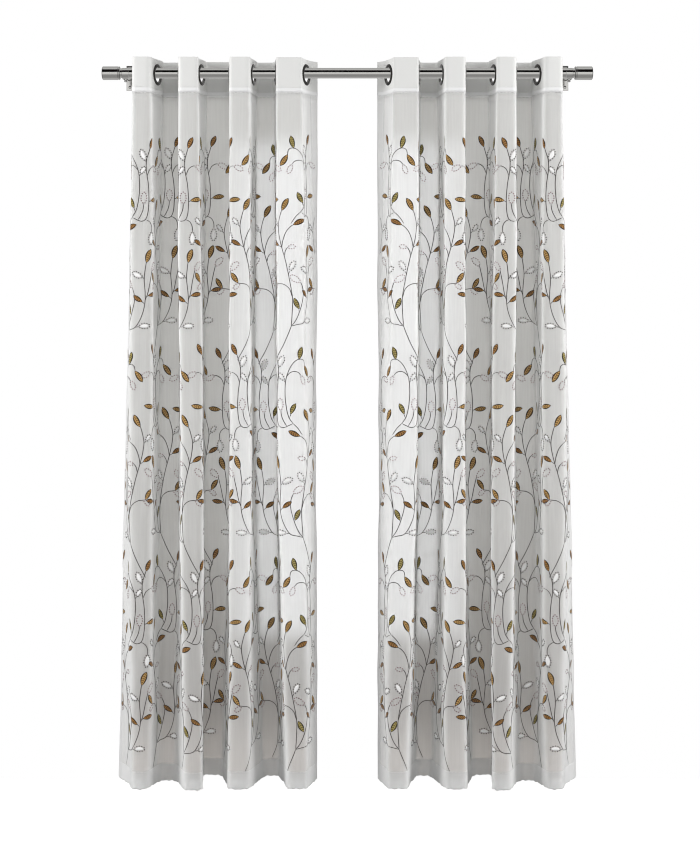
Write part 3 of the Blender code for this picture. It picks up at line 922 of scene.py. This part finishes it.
def eased(outline, radius):
    """An outline with each inner corner turned into a small round and held by points beside it."""
    points = np.array(outline, float)
    result = [points[0]]
    for before, corner, after in zip(points, points[1:], points[2:]):
        back, ahead = before - corner, after - corner
        lengths = np.linalg.norm(back), np.linalg.norm(ahead)
        cut = min(radius, 0.3 * min(lengths))
        back, ahead = back / lengths[0], ahead / lengths[1]
        result += [
            corner + 1.5 * cut * back,
            corner + cut * back,
            corner + 0.3 * cut * (back + ahead),
            corner + cut * ahead,
            corner + 1.5 * cut * ahead,
        ]
    return [*result, points[-1]]


bore = ROD_RADIUS - ROD_WALL
half_outline = [(ROD_RADIUS, 0), (ROD_RADIUS, ROD_HALF_LENGTH), (bore, ROD_HALF_LENGTH), (bore, 0)]
rod_end = eased(half_outline, EASE)[1:-1]
rod_outline = [*rod_end, *((radius, -along) for radius, along in rod_end[::-1])]
rod = turned("rod_tube", rod_outline, ROUND_STEPS, satin_nickel)
stood(rod, (0, -ROD_STANDOFF, 0), ALONG_ROD)
stand_for(rod, "rod")

FINIAL_OUTLINE = (  # radius, distance out from the rod's end
    (0, 0.0595),
    (0.0165, 0.0595),
    (0.0200, 0.0575),
    (0.0200, 0.0125),
    (0.0188, 0.0122),
    (0.0188, 0.0108),
    (0.0200, 0.0105),
    (0.0200, 0.0085),
    (0.0184, 0.0070),
    (0.0146, 0.0070),
    (0.0146, 0.0005),
    (0.0141, 0.0005),
    (0.0141, -0.0195),
    (0, -0.0195),
)
finial_outline = eased(FINIAL_OUTLINE, FINIAL_EASE)[::-1]
for word, side in SIDES.items():
    finial = turned(f"finial_cap_{word}", finial_outline, ROUND_STEPS, satin_nickel)
    stood(finial, (side * ROD_HALF_LENGTH, -ROD_STANDOFF, 0), (side, 0, 0))
    stand_for(finial, f"finial_{word}")
print("a finial has", len(finial.data.polygons), "faces")

# %% The sizes of the brackets and screws
BRACKET_OUT = 0.654
PLATE_MIDDLE = -0.003  # below the rod's axis
PLATE_SIZE = (0.021, 0.003, 0.075)
PLATE_EASE = 0.0009
CRADLE_BORE = 0.0159
CRADLE_RADIUS = 0.0189
CRADLE_WIDTH = 0.018
CRADLE_LIP = 0.004
OPEN_TOP = (0.036, 0.045, 0.020)  # cut out of the cradle above its lip
BOSS_RADIUS = 0.006
BOSS_START = 0.017  # below the rod's axis, inside the cradle's metal
BOSS_DROP = 0.0205
SCREW_HOLE = 0.0024  # radius
THUMB_SCREW_HOLE_REACH = (0.010, 0.030)  # below the rod's axis
WALL_SCREW_HOLE_REACH = (-0.005, 0.010)  # out from the wall
CASTING_STEPS = 48
CRADLE_STEPS = 72
WALL_SCREW_STEPS = 32
SCREW_HOLE_STEPS = 24
SCREW_OFFSETS = {"upper": 0.027, "lower": -0.027}
SCREW_GAP = 0.0002  # between a screw and what it is tightened on
SLOT_SIZE = (0.0070, 0.0014, 0.0009)
SHARP = math.radians(40)  # from this turn on, a corner is an edge
TO_ROOM = (0, -1, 0)
DOWN = (0, 0, -1)
ARM_OUTLINE = (  # radius, distance from the wall
    (0, 0.0015),
    (0.0092, 0.0015),
    (0.0092, 0.0034),
    (0.0074, 0.0052),
    (0.0064, 0.0080),
    (0.0060, 0.0120),
    (0.0060, 0.0775),
    (0, 0.0775),
)
THUMB_SCREW_OUTLINE = (  # radius, distance below the boss
    (0, 0.0059),
    (0.0032, 0.0059),
    (0.0045, 0.0046),
    (0.0045, 0.0012),
    (0.0036, 0),
    (0.002, 0),
    (0.002, -0.0049),
    (0, -0.0049),
)
WALL_SCREW_OUTLINE = (  # radius, distance out from the plate
    (0, 0.0022),
    (0.0022, 0.0021),
    (0.0036, 0.0014),
    (0.0042, 0.0004),
    (0.0042, 0),
    (0.002, 0),
    (0.002, -0.003),
    (0, -0.003),
)


def block(name, size, middle, ease=0.0):
    """A box, with its edges eased where ease isn't 0."""
    drawing = bmesh.new()
    bmesh.ops.create_cube(drawing, size=1, matrix=Matrix.Translation(middle) @ Matrix.Diagonal((*size, 1)))
    if ease:
        bmesh.ops.bevel(drawing, geom=drawing.edges[:], offset=ease, segments=3, profile=0.6, affect="EDGES")
    mesh = bpy.data.meshes.new(name)
    drawing.to_mesh(mesh)
    drawing.free()
    mesh.uv_layers.new(name="flat")
    mesh.materials.append(satin_nickel)
    made = bpy.data.objects.new(name, mesh)
    bpy.context.scene.collection.objects.link(made)
    return made


def cylinder(radius, reach, middle, along, steps):
    """A plain cylinder that reaches from one distance to another along a direction."""
    low, high = reach
    outline = [(0, low), (radius, low), (radius, high), (0, high)]
    return stood(turned("piece", outline, steps, satin_nickel), middle, along)


print("a wall plate is", PLATE_SIZE[0] * 1000, "by", PLATE_SIZE[2] * 1000, "mm")

# %% Brackets and screws
cradle_reach = (-CRADLE_WIDTH / 2, CRADLE_WIDTH / 2)
bore_reach = (-CRADLE_WIDTH, CRADLE_WIDTH)  # past the cradle at both ends
for word, side in SIDES.items():
    axis = Vector((side * BRACKET_OUT, -ROD_STANDOFF, 0))
    wall_place = Vector((axis.x, 0, PLATE_MIDDLE))
    plate_middle = wall_place - Vector((0, PLATE_SIZE[1] / 2, 0))
    top_middle = axis + Vector((0, 0, CRADLE_LIP + OPEN_TOP[2] / 2))
    bracket = block(f"bracket_casting_{word}", PLATE_SIZE, plate_middle, PLATE_EASE)
    changes = [
        ("UNION", stood(turned("arm", ARM_OUTLINE, CASTING_STEPS, satin_nickel), wall_place, TO_ROOM)),
        ("UNION", cylinder(CRADLE_RADIUS, cradle_reach, axis, ALONG_ROD, CRADLE_STEPS)),
        ("UNION", cylinder(BOSS_RADIUS, (BOSS_START, BOSS_DROP), axis, DOWN, CASTING_STEPS)),
        ("DIFFERENCE", cylinder(CRADLE_BORE, bore_reach, axis, ALONG_ROD, CRADLE_STEPS)),
        ("DIFFERENCE", block("open_top", OPEN_TOP, top_middle)),
        ("DIFFERENCE", cylinder(SCREW_HOLE, THUMB_SCREW_HOLE_REACH, axis, DOWN, SCREW_HOLE_STEPS)),
    ]
    for offset in SCREW_OFFSETS.values():
        hole = wall_place + Vector((0, 0, offset))
        drill = cylinder(SCREW_HOLE, WALL_SCREW_HOLE_REACH, hole, TO_ROOM, SCREW_HOLE_STEPS)
        changes.append(("DIFFERENCE", drill))
    combine(bracket, changes)
    ease = bracket.modifiers.new("eased edges", "BEVEL")
    ease.width, ease.segments, ease.limit_method, ease.angle_limit = EASE, 2, "ANGLE", SHARP
    combine(bracket, [])
    bracket.data.shade_smooth()
    bracket.data.set_sharp_from_angle(angle=SHARP)
    stand_for(bracket, f"bracket_{word}")

    thumb_outline = eased(THUMB_SCREW_OUTLINE, EASE)[::-1]
    thumb = turned(f"thumb_screw_turned_{word}", thumb_outline, CASTING_STEPS, satin_nickel)
    stood(thumb, axis - Vector((0, 0, BOSS_DROP + SCREW_GAP)), DOWN)
    stand_for(thumb, f"thumb_screw_{word}")
    for level, offset in SCREW_OFFSETS.items():
        name = f"wall_screw_turned_{word}_{level}"
        screw = turned(name, WALL_SCREW_OUTLINE[::-1], WALL_SCREW_STEPS, satin_nickel)
        screw_middle = wall_place + Vector((0, -PLATE_SIZE[1] - SCREW_GAP, offset))
        stood(screw, screw_middle, TO_ROOM)
        slot_middle = screw_middle - Vector((0, WALL_SCREW_OUTLINE[0][1], 0))
        combine(screw, [("DIFFERENCE", block("slot", SLOT_SIZE, slot_middle))])
        screw.data.set_sharp_from_angle(angle=SHARP)
        stand_for(screw, f"wall_screw_{word}_{level}")
print("a bracket has", len(bracket.data.polygons), "faces")

# %% [markdown]
# ## The embroidered vines, charted
#
# One plant and the spray above it make a unit 0.62 m tall. It is repeated every 155 mm across the
# flat cloth, in three rows. The middle row is turned left to right, and every other unit stands a
# little lower. The chart is in millimetres from the plant's fork, across and up. A stem is a row
# of points. A leaf has a place, a direction in degrees from straight across, a length, and a
# thread. Gold, russet and olive leaves are filled with satin stitch, white leaves are satin stitch
# in a dotted outline, and open leaves are a dotted outline alone.

# %% The chart
STEMS = (
    ((0, 0), (-10, -25), (-26, -60), (-48, -100)),
    (
        (0, 0), (3, 38), (4, 83), (-3, 127), (-15, 186),
        (-27, 230), (-35, 265), (-38, 295), (-32, 325), (-27, 340),
    ),
    ((-27, 230), (-24, 250), (-15, 275), (-3, 290), (8, 297)),
    ((-27, 230), (-36, 236)),
    ((-20, 205), (-16, 222), (-8, 232)),
    ((-38, 290), (-45, 298)),
    ((-9, 150), (-3, 162)),
    ((3, 85), (-4, 108), (-20, 122), (-38, 125), (-46, 126)),
    ((0, 0), (14, 18), (26, 47), (36, 85), (35, 110), (27, 130)),
    ((0, 0), (18, 5), (36, 9), (50, 27), (62, 56), (68, 86), (68, 115), (65, 153), (68, 183), (71, 203)),
    ((67, 88), (75, 110), (82, 145), (90, 180)),
    ((66, 152), (58, 160)),
    ((66, 80), (58, 88)),
    ((40, 12), (52, 14)),
    ((72, 100), (78, 106)),
    ((27, 333), (12, 318), (0, 300)),
    (
        (27, 333), (39, 351), (46, 380), (49, 410), (49, 439), (45, 469),
        (33, 498), (18, 516), (3, 521), (-8, 516), (-11, 500),
    ),
    ((45, 469), (36, 480), (24, 485), (10, 482), (1, 471)),
    ((48, 452), (53, 460)),
    ((37, 350), (32, 362)),
    (
        (27, 333), (39, 327), (54, 321), (67, 326), (74, 345), (77, 383),
        (75, 428), (69, 468), (69, 498), (75, 521), (79, 535),
    ),
    ((45, 325), (54, 340), (60, 356), (62, 374)),
    ((76, 378), (84, 381)),
    ((71, 453), (79, 473), (92, 482), (102, 482)),
    ((69, 490), (66, 500)),
    ((67, 326), (79, 320), (86, 305), (86, 288)),
)
LEAVES = (
    # across, up, direction, length, thread
    (-27, 338, 62, 41, "gold"),
    (-36, 236, 150, 33, "russet"),
    (6, 296, 24, 38, "russet"),
    (-9, 230, 8, 26, "open"),
    (-44, 297, 128, 28, "white"),
    (-3, 162, 62, 38, "white"),
    (-44, 126, 122, 36, "gold"),
    (-40, 125, 222, 28, "open"),
    (27, 130, 148, 40, "open"),
    (24, 50, 115, 36, "olive"),
    (71, 200, 72, 42, "gold"),
    (90, 178, 48, 38, "open"),
    (60, 158, 155, 40, "white"),
    (60, 86, 145, 33, "russet"),
    (50, 14, 4, 38, "white"),
    (76, 104, 10, 33, "russet"),
    (-10, 502, 236, 40, "gold"),
    (8, 520, 104, 38, "olive"),
    (1, 472, 248, 32, "open"),
    (52, 459, 56, 30, "white"),
    (34, 360, 116, 35, "olive"),
    (62, 372, 88, 40, "open"),
    (79, 533, 66, 36, "russet"),
    (82, 381, 8, 36, "gold"),
    (100, 483, -28, 34, "open"),
    (67, 498, 114, 42, "white"),
    (86, 290, 266, 44, "white"),
)
ROWS = (  # fork's height, first fork across, which way it faces
    (-0.746, -0.060, 1),
    (-1.363, -0.030, -1),
    (-1.978, -0.060, 1),
)
UNIT_PITCH = 0.155
UNITS_ACROSS = 10
ODD_UNIT_DROP = 0.015  # every other unit stands lower
print(len(STEMS), "stems and", len(LEAVES), "leaves a unit")

# %% [markdown]
# ## Embroidery thread
#
# The thread is rayon, two strands twisted, laid side by side in satin stitch. It has a silky
# shine along its length, and each leaf is a slightly raised pad whose stitches run out from its
# middle rib to a stitched edge. White leaves are given a faint painted glow, an emission that
# stands in for the bright light on white rayon. Stitches and strands are painted lighter on their
# crests and darker in the hollows between them: painted light and shade. A stem is a line of
# overlapping rope stitches. The stitches are 0.4 mm apart on the real thing. They are drawn 6 mm
# apart, so that they show from here.

# %% Satin stitch
STITCH_MM = 6.0
STITCH_SLANT = 0.006  # how much nearer the leaf's foot a stitch is at the edge than at the rib
# a faint painted glow on white leaves: an emission that stands in for light, on a thread that is no lamp
WHITE_PAINTED_GLOW = 0.10
LEAF_COLOURS = {
    # stitch crests with painted light, painted shade between stitches, rib and edge
    "gold": ("#D2A866", "#6C4C1E", "#2A1A08"),
    "russet": ("#B88648", "#583A16", "#261606"),
    "olive": ("#BCAA66", "#5E5426", "#26200A"),
    "white": ("#FFFFFF", "#F0F0EE", "#E6E4E2"),
}
EDGE_STOPS = ((0.0, 0.45), (0.12, 0.0), (0.55, 0.0), (0.70, 1.0), (1.0, 1.0))  # how far out, share


def ridges(tree, scaled, scale, added, turns_in_one):
    """A wave from 0 to 1 over a line that is one value times its scale, plus another."""
    line = add_node(tree, "Math", {0: scaled, 1: scale, 2: added}, operation="MULTIPLY_ADD").outputs[0]
    turns = add_node(
        tree, "Math", {0: line, 1: 2 * math.pi * turns_in_one}, operation="MULTIPLY"
    ).outputs[0]
    wave = add_node(tree, "Math", {0: turns}, operation="SINE").outputs[0]
    return add_node(tree, "MapRange", {"Value": wave, "From Min": -1.0}).outputs[0]


def satin_thread(name, colours, painted_glow):
    """Satin stitch on a leaf. The UV map holds metres along the leaf, and how far out from its rib."""
    stitches, between, edge = (linear(colour) for colour in colours)
    made, tree, shader = new_material(
        f"rayon_satin_stitch_{name}",
        Roughness=0.42,
        Sheen_Weight=0.2,
        Specular_IOR_Level=0.45,
        # the emission is painted light, a glow that the thread itself doesn't have
        Emission_Color=grey(1.0),
        Emission_Strength=painted_glow,
    )
    flat = add_node(tree, "UVMap", uv_map="flat").outputs[0]
    place = add_node(tree, "SeparateXYZ", {0: flat}).outputs
    raised = ridges(tree, place["Y"], STITCH_SLANT, place["X"], 1000 / STITCH_MM)
    # each stitch is painted lighter on its raised crest and darker in the groove beside it: painted light
    # and shade along the bump
    painted_stitch_light_and_shade = add_node(
        tree, "Mix", {0: raised, MIX_A: between, MIX_B: stitches}, data_type="RGBA"
    ).outputs[MIXED]
    rib_and_edge = add_node(tree, "ValToRGB", {"Fac": place["Y"]})
    set_stops(rib_and_edge, [(where, grey(share)) for where, share in EDGE_STOPS])
    mixed = add_node(
        tree, "Mix", {0: rib_and_edge.outputs[0], MIX_A: painted_stitch_light_and_shade, MIX_B: edge}, data_type="RGBA"
    ).outputs[MIXED]
    tree.links.new(mixed, shader.inputs["Base Color"])
    bump = add_node(tree, "Bump", {"Height": raised, "Strength": 0.4, "Distance": 0.0004})
    tree.links.new(bump.outputs[0], shader.inputs["Normal"])
    return made


leaf_threads = {}
for name, colours in LEAF_COLOURS.items():
    leaf_threads[name] = satin_thread(name, colours, WHITE_PAINTED_GLOW if name == "white" else 0.0)
print("satin stitch in", ", ".join(leaf_threads))

# %% Rope stitch
STRAND_PITCH = 0.004  # along the thread, from one strand to the next
# painted shade for the hollows between strands, and painted light on the strands' crests
ROPE_COLOURS = {  # between strands, and on them
    "umber": ("#2C2724", "#544D48"),
    "dusky_pink": ("#6E5456", "#A08486"),
    "white": ("#E2E2E0", "#FAFAFA"),
}


def rope_thread(name, painted_hollow_shade, crest):
    """Twisted thread. The UV map holds metres along it, and turns round it."""
    made, tree, shader = new_material(
        f"rayon_rope_stitch_{name}", Roughness=0.5, Sheen_Weight=0.2, Specular_IOR_Level=0.4
    )
    flat = add_node(tree, "UVMap", uv_map="flat").outputs[0]
    place = add_node(tree, "SeparateXYZ", {0: flat}).outputs
    raised = ridges(tree, place["X"], 1 / STRAND_PITCH, place["Y"], 1)
    # the strands are painted lighter on their crests and darker in the hollows between them: painted light
    # and shade along the bump
    strands = add_node(
        tree, "Mix", {0: raised, MIX_A: linear(painted_hollow_shade), MIX_B: linear(crest)}, data_type="RGBA"
    ).outputs[MIXED]
    tree.links.new(strands, shader.inputs["Base Color"])
    bump = add_node(tree, "Bump", {"Height": raised, "Strength": 0.5, "Distance": 0.0005})
    tree.links.new(bump.outputs[0], shader.inputs["Normal"])
    return made


rope_threads = {name: rope_thread(name, *colours) for name, colours in ROPE_COLOURS.items()}
print("rope stitch in", ", ".join(rope_threads))

# %% [markdown]
# ## Stitching the vines on
#
# A leaf is a small closed pad on a grid, narrow at its foot and pointed at its tip. A stem is a
# tube, wider than it is high, along a smooth curve through its points. Both are drawn on the flat
# cloth, standing a little proud of its two sides, and then hung with it. What would come within
# 10 mm of the panel's sides is left off, and the stems end at the bottom hem.

# %% Short stitches
DASH_FACES = np.array([(0, 1, 2, 3), (7, 6, 5, 4), (0, 4, 5, 1), (1, 5, 6, 2), (2, 6, 7, 3), (3, 7, 4, 0)])
DASH_TWIST = 0.3  # how much of the thread's round shows on a dash
DASH_START = 0.25  # of the pitch, left before the first dash


def points_along(line, places):
    """The points of a flat line at these distances from its start."""
    travelled = distances(line)
    return np.stack([np.interp(places, travelled, line[:, axis]) for axis in (0, 1)], axis=1)


def sideways_of(run):
    """Directions at right angles to these directions, each 1 long."""
    run = run / np.linalg.norm(run, axis=1, keepdims=True)
    return np.stack([-run[:, 1], run[:, 0]], axis=1)


def dashes(line, pitch, length, width, lift):
    """Short stitches with gaps between them along a flat line: points, faces and UVs."""
    whole = distances(line)[-1]
    count = round(whole / pitch)
    starts = (np.arange(count) + DASH_START) * whole / count
    start, end = points_along(line, starts), points_along(line, starts + length)
    beside = width / 2 * sideways_of(end - start)
    flat = np.stack([start - beside, end - beside, end + beside, start + beside], axis=1)
    face = np.concatenate([flat, np.full((count, 4, 1), lift)], axis=2)
    points = np.concatenate([face, face * [1, 1, -1]], axis=1).reshape(-1, 3)
    faces = (DASH_FACES[None] + 8 * np.arange(count)[:, None, None]).reshape(-1, 4)
    uv = np.tile([(0, 0), (length, 0), (length, DASH_TWIST), (0, DASH_TWIST)], (2 * count, 1))
    return points, faces.tolist(), uv


print("a dash has", len(DASH_FACES), "faces")

# %% Leaves
LEAF_ALONG = 8
LEAF_ACROSS = 4
LEAF_FAT = 0.40  # widest, as a share of its length
LEAF_TIPWARD = 1.1  # above 1, the widest place is nearer the tip
LEAF_ROUNDNESS = 0.7  # below 1, the leaf fills out towards its ends
LEAF_END = 0.0004  # half the width at its foot and tip
LEAF_BEND = 0.10  # of its length, four times how far its middle is bent aside
LEAF_EDGE_LIFT = 0.0005
LEAF_LIFT = 0.0005  # how much higher a leaf's middle is than its edge
LEAF_SWELL = 6  # the higher, the nearer its ends it is that high
END_STITCHES = 7  # the higher, the shorter the stitched edge at foot and tip
FILLED = 0.80  # a white leaf's stitches, as a share of its outline
OUTLINE_POINTS = 25
OUTLINE_FAT = 1.12  # against the leaf's own width
OUTLINE_GAP = 0.0006
DASH_PITCH = 0.0074
DASH_LENGTH = 0.0032
DASH_WIDTH = 0.0027
STEM_LIFT = 0.0009


def leaf_shape(along, length):
    """Half a leaf's width, and how far its middle line is bent aside, from foot to tip."""
    half = LEAF_FAT / 2 * length * np.sin(math.pi * along**LEAF_TIPWARD) ** LEAF_ROUNDNESS + LEAF_END
    return half, LEAF_BEND * length * (along * (1 - along))


def turned_flat(x, y, turned_by):
    """Flat points turned by an angle in degrees."""
    angle = math.radians(turned_by)
    return x * math.cos(angle) - y * math.sin(angle), x * math.sin(angle) + y * math.cos(angle)


def leaf_outline(turned_by, length):
    """The stitches round a leaf whose foot is at the origin."""
    along = np.linspace(0, 1, OUTLINE_POINTS)
    half, bend = leaf_shape(along, length)
    half = half * OUTLINE_FAT + OUTLINE_GAP
    x = np.concatenate([along, along[::-1]]) * (length + OUTLINE_GAP)
    y = np.concatenate([bend - half, (bend + half)[::-1]])
    loop = np.stack(turned_flat(x, y, turned_by), axis=1)
    return dashes(loop, DASH_PITCH, DASH_LENGTH, DASH_WIDTH, STEM_LIFT)


def leaf_pad(turned_by, length, share=1):
    """Points, faces and UVs of one flat leaf whose foot is at the origin. share is how much it fills."""
    along = np.linspace(0, 1, LEAF_ALONG + 1)[:, None]
    out = np.linspace(-1, 1, LEAF_ACROSS + 1)[None]
    half, bend = leaf_shape(along, length)
    x, y = ((along - 0.5) * share + 0.5) * length + 0 * out, half * share * out + bend
    flat_x, flat_y = turned_flat(x, y, turned_by)
    lift = LEAF_EDGE_LIFT + LEAF_LIFT * (1 - out**2) * np.minimum(1, LEAF_SWELL * along * (1 - along))
    outward = np.maximum(np.abs(out), np.abs(2 * along - 1) ** END_STITCHES)
    uv = np.stack([x, outward], axis=-1).reshape(-1, 2)
    face = np.stack([flat_x, flat_y, lift], axis=-1).reshape(-1, 3)
    return np.concatenate([face, face * [1, 1, -1]]), closed_grid(*x.shape), np.tile(uv, (2, 1))


print("a leaf has", len(closed_grid(LEAF_ALONG + 1, LEAF_ACROSS + 1)), "faces")

# %% Stems
STEM_WIDTH = 0.0023
STEM_TIP = 0.5  # of its width and height, at both its ends
STEM_STEP = 0.0075
STEM_SIDES = 5
CURVE_STEPS = 8


def smooth_curve(points):
    """Even steps along a smooth curve through the points."""
    points = np.array(points, float)
    padded = np.concatenate([2 * points[:1] - points[1:2], points, 2 * points[-1:] - points[-2:-1]])
    shares = np.linspace(0, 1, CURVE_STEPS, endpoint=False)[:, None]
    pieces = []
    for before, start, end, after in zip(padded, padded[1:], padded[2:], padded[3:]):
        pieces.append(
            start
            + 0.5 * shares * (end - before)
            + shares**2 * (before - 2.5 * start + 2 * end - 0.5 * after)
            + shares**3 * (1.5 * (start - end) + 0.5 * (after - before))
        )
    curve = np.concatenate([*pieces, points[-1:]])
    whole = distances(curve)[-1]
    return points_along(curve, np.linspace(0, whole, max(3, round(whole / STEM_STEP) + 1)))


def stem_tube(curve):
    """Points, faces and UVs of a flat tube along the curve."""
    beside = sideways_of(np.gradient(curve, axis=0))
    angles = np.linspace(0, 2 * math.pi, STEM_SIDES, endpoint=False)
    ends = np.ones(len(curve))
    ends[[0, -1]] = STEM_TIP
    around = STEM_WIDTH / 2 * np.cos(angles)[None, :, None] * beside[:, None] * ends[:, None, None]
    lift = STEM_LIFT * np.sin(angles)[None] * ends[:, None]
    points = np.concatenate([curve[:, None] + around, lift[..., None]], axis=-1).reshape(-1, 3)
    corner = np.arange(len(points)).reshape(len(curve), STEM_SIDES)
    beside = np.roll(corner, -1, axis=1)
    sides = np.stack([corner[:-1], corner[1:], beside[1:], beside[:-1]], axis=-1).reshape(-1, 4)
    caps = [corner[0].tolist(), corner[-1, ::-1].tolist()]
    turns = np.tile(angles / (2 * math.pi), len(curve))
    uv = np.stack([np.repeat(distances(curve), STEM_SIDES), turns], axis=-1)
    return points, [*sides.tolist(), *caps], uv


print("the first stem is drawn in", len(smooth_curve(np.array(STEMS[0]) / 1000)), "points")

# %% The vines of a panel, still flat
EDGE_CLEAR = 0.010
HEM_OVERLAP = 0.004
SHORTEST_STEM = 3  # points
OPEN_SIZE = 0.84  # white and open leaves, against the chart


def inside(across):
    """True where the cloth is clear of the panel's sides."""
    return np.abs(across - PANEL_WIDTH / 2) <= PANEL_WIDTH / 2 - EDGE_CLEAR


def unit_stems(fork, height, facing):
    """The stems of one unit, cut off where they leave the cloth."""
    for stem in STEMS:
        curve = smooth_curve(np.array(stem) / 1000 * [facing, 1]) + [fork, height]
        keep = inside(curve[:, 0]) & (curve[:, 1] > HEM_FOOT + FOOT_HEM - HEM_OVERLAP)
        starts = np.flatnonzero(np.diff(np.concatenate([[0], keep.astype(int), [0]])))
        for start, end in zip(starts[::2], starts[1::2]):
            if end - start >= SHORTEST_STEM:
                yield "stem", *stem_tube(curve[start:end])


def unit_leaves(fork, height, facing):
    """The leaves of one unit, without those that reach the panel's sides."""
    for across, up, turned_by, length, thread in LEAVES:
        across, length = across / 1000 * facing, length / 1000
        if thread in ("open", "white"):
            length *= OPEN_SIZE
        if facing < 0:
            turned_by = 180 - turned_by
        foot = [fork + across, height + up / 1000]
        points, faces, uv = leaf_pad(turned_by, length, FILLED if thread == "white" else 1)
        points[:, :2] += foot
        if not inside(points[:, 0]).all():
            continue
        if thread != "open":
            yield thread, points, faces.tolist(), uv
        if thread in ("open", "white"):
            points, faces, uv = leaf_outline(turned_by, length)
            points[:, :2] += foot
            yield f"{thread} outline", points, faces, uv


flat_stitches = []
for row_height, first, facing in ROWS:
    for index in range(UNITS_ACROSS):
        unit = (first + index * UNIT_PITCH, row_height - ODD_UNIT_DROP * (index % 2), facing)
        flat_stitches += [*unit_stems(*unit), *unit_leaves(*unit)]
print("a panel has", len(flat_stitches), "stems, leaves and outlines")

# %% [markdown]
# The hems are sewn with straight machine stitches, and so are the heading's lower edge and the top
# of its band. All the stitches of one kind on a panel make one object.

# %% Seams, and stitching it all on
SEAM_PITCH = 0.0040
SEAM_LENGTH = 0.0028
SEAM_WIDTH = 0.0007
SEAM_INSET = 0.0025
SEAM_END = 0.002
SEAM_LIFT = 0.0008
HEADING_SEAM_LIFT = 0.0013

low, high = SIDE_HEM - SEAM_INSET, PANEL_WIDTH - SIDE_HEM + SEAM_INSET
first, last = SEAM_END, PANEL_WIDTH - SEAM_END
top, foot = HEADING_FOOT - SEAM_INSET, HEM_FOOT + FOOT_HEM - SEAM_INSET
lower, upper = HEADING_FOOT + SEAM_INSET, HEADING_FOOT + (BAND_HEIGHT + SEAM_INSET)
SEAMS = (
    ("seam", (low, top), (low, foot), SEAM_LIFT),
    ("seam", (high, top), (high, foot), SEAM_LIFT),
    ("seam", (first, foot), (last, foot), SEAM_LIFT),
    ("seam", (first, top), (last, top), SEAM_LIFT),
    ("heading seam", (first, lower), (last, lower), HEADING_SEAM_LIFT),
    ("heading seam", (first, upper), (last, upper), HEADING_SEAM_LIFT),
)
for kind, start, end, lift in SEAMS:
    flat_stitches.append((kind, *dashes(np.array([start, end]), SEAM_PITCH, SEAM_LENGTH, SEAM_WIDTH, lift)))


def stitched(name, side, threads):
    """One object with every flat stitch of these kinds, hung with its panel."""
    kinds = list(threads)
    points, faces, uvs, slots, total = [], [], [], [], 0
    order = 1 if side > 0 else -1
    for kind, flat, quads, uv in flat_stitches:
        if kind not in kinds:
            continue
        points.append(flat)
        uvs.append(uv)
        faces += [[corner + total for corner in face[::order]] for face in quads]
        slots += [kinds.index(kind)] * len(quads)
        total += len(flat)
    placed = hang(side, *np.concatenate(points).T)
    made = add_mesh(name, placed, faces, np.concatenate(uvs), list(threads.values()))
    made.data.polygons.foreach_set("material_index", slots)
    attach(made, "root")
    return made


umber, white = rope_threads["umber"], rope_threads["white"]
stem_threads = {"stem": umber, "white outline": umber, "open outline": rope_threads["dusky_pink"]}
embroidery, heading_seams = {}, {}
for word, side in SIDES.items():
    embroidery[word] = [
        stitched(f"leaf_stitching_{word}", side, leaf_threads),
        stitched(f"stem_stitching_{word}", side, stem_threads),
        stitched(f"seam_stitching_{word}", side, {"seam": white}),
    ]
    heading_seams[word] = stitched(f"heading_stitching_{word}", side, {"heading seam": white})
for made in embroidery["right"]:
    print(made.name, "has", sum(len(face.vertices) - 2 for face in made.data.polygons), "triangles")

for word in SIDES:
    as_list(embroidery[word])

# %% Render settings and the size of the model
bpy.context.scene.view_settings.view_transform = "Standard"
bpy.context.scene.cycles.transparent_max_bounces = 64
bpy.context.scene.cycles.filter_width = 1.1
visual_box = [list(corner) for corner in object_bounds()]
print("visual model from", visual_box[0], "to", visual_box[1])
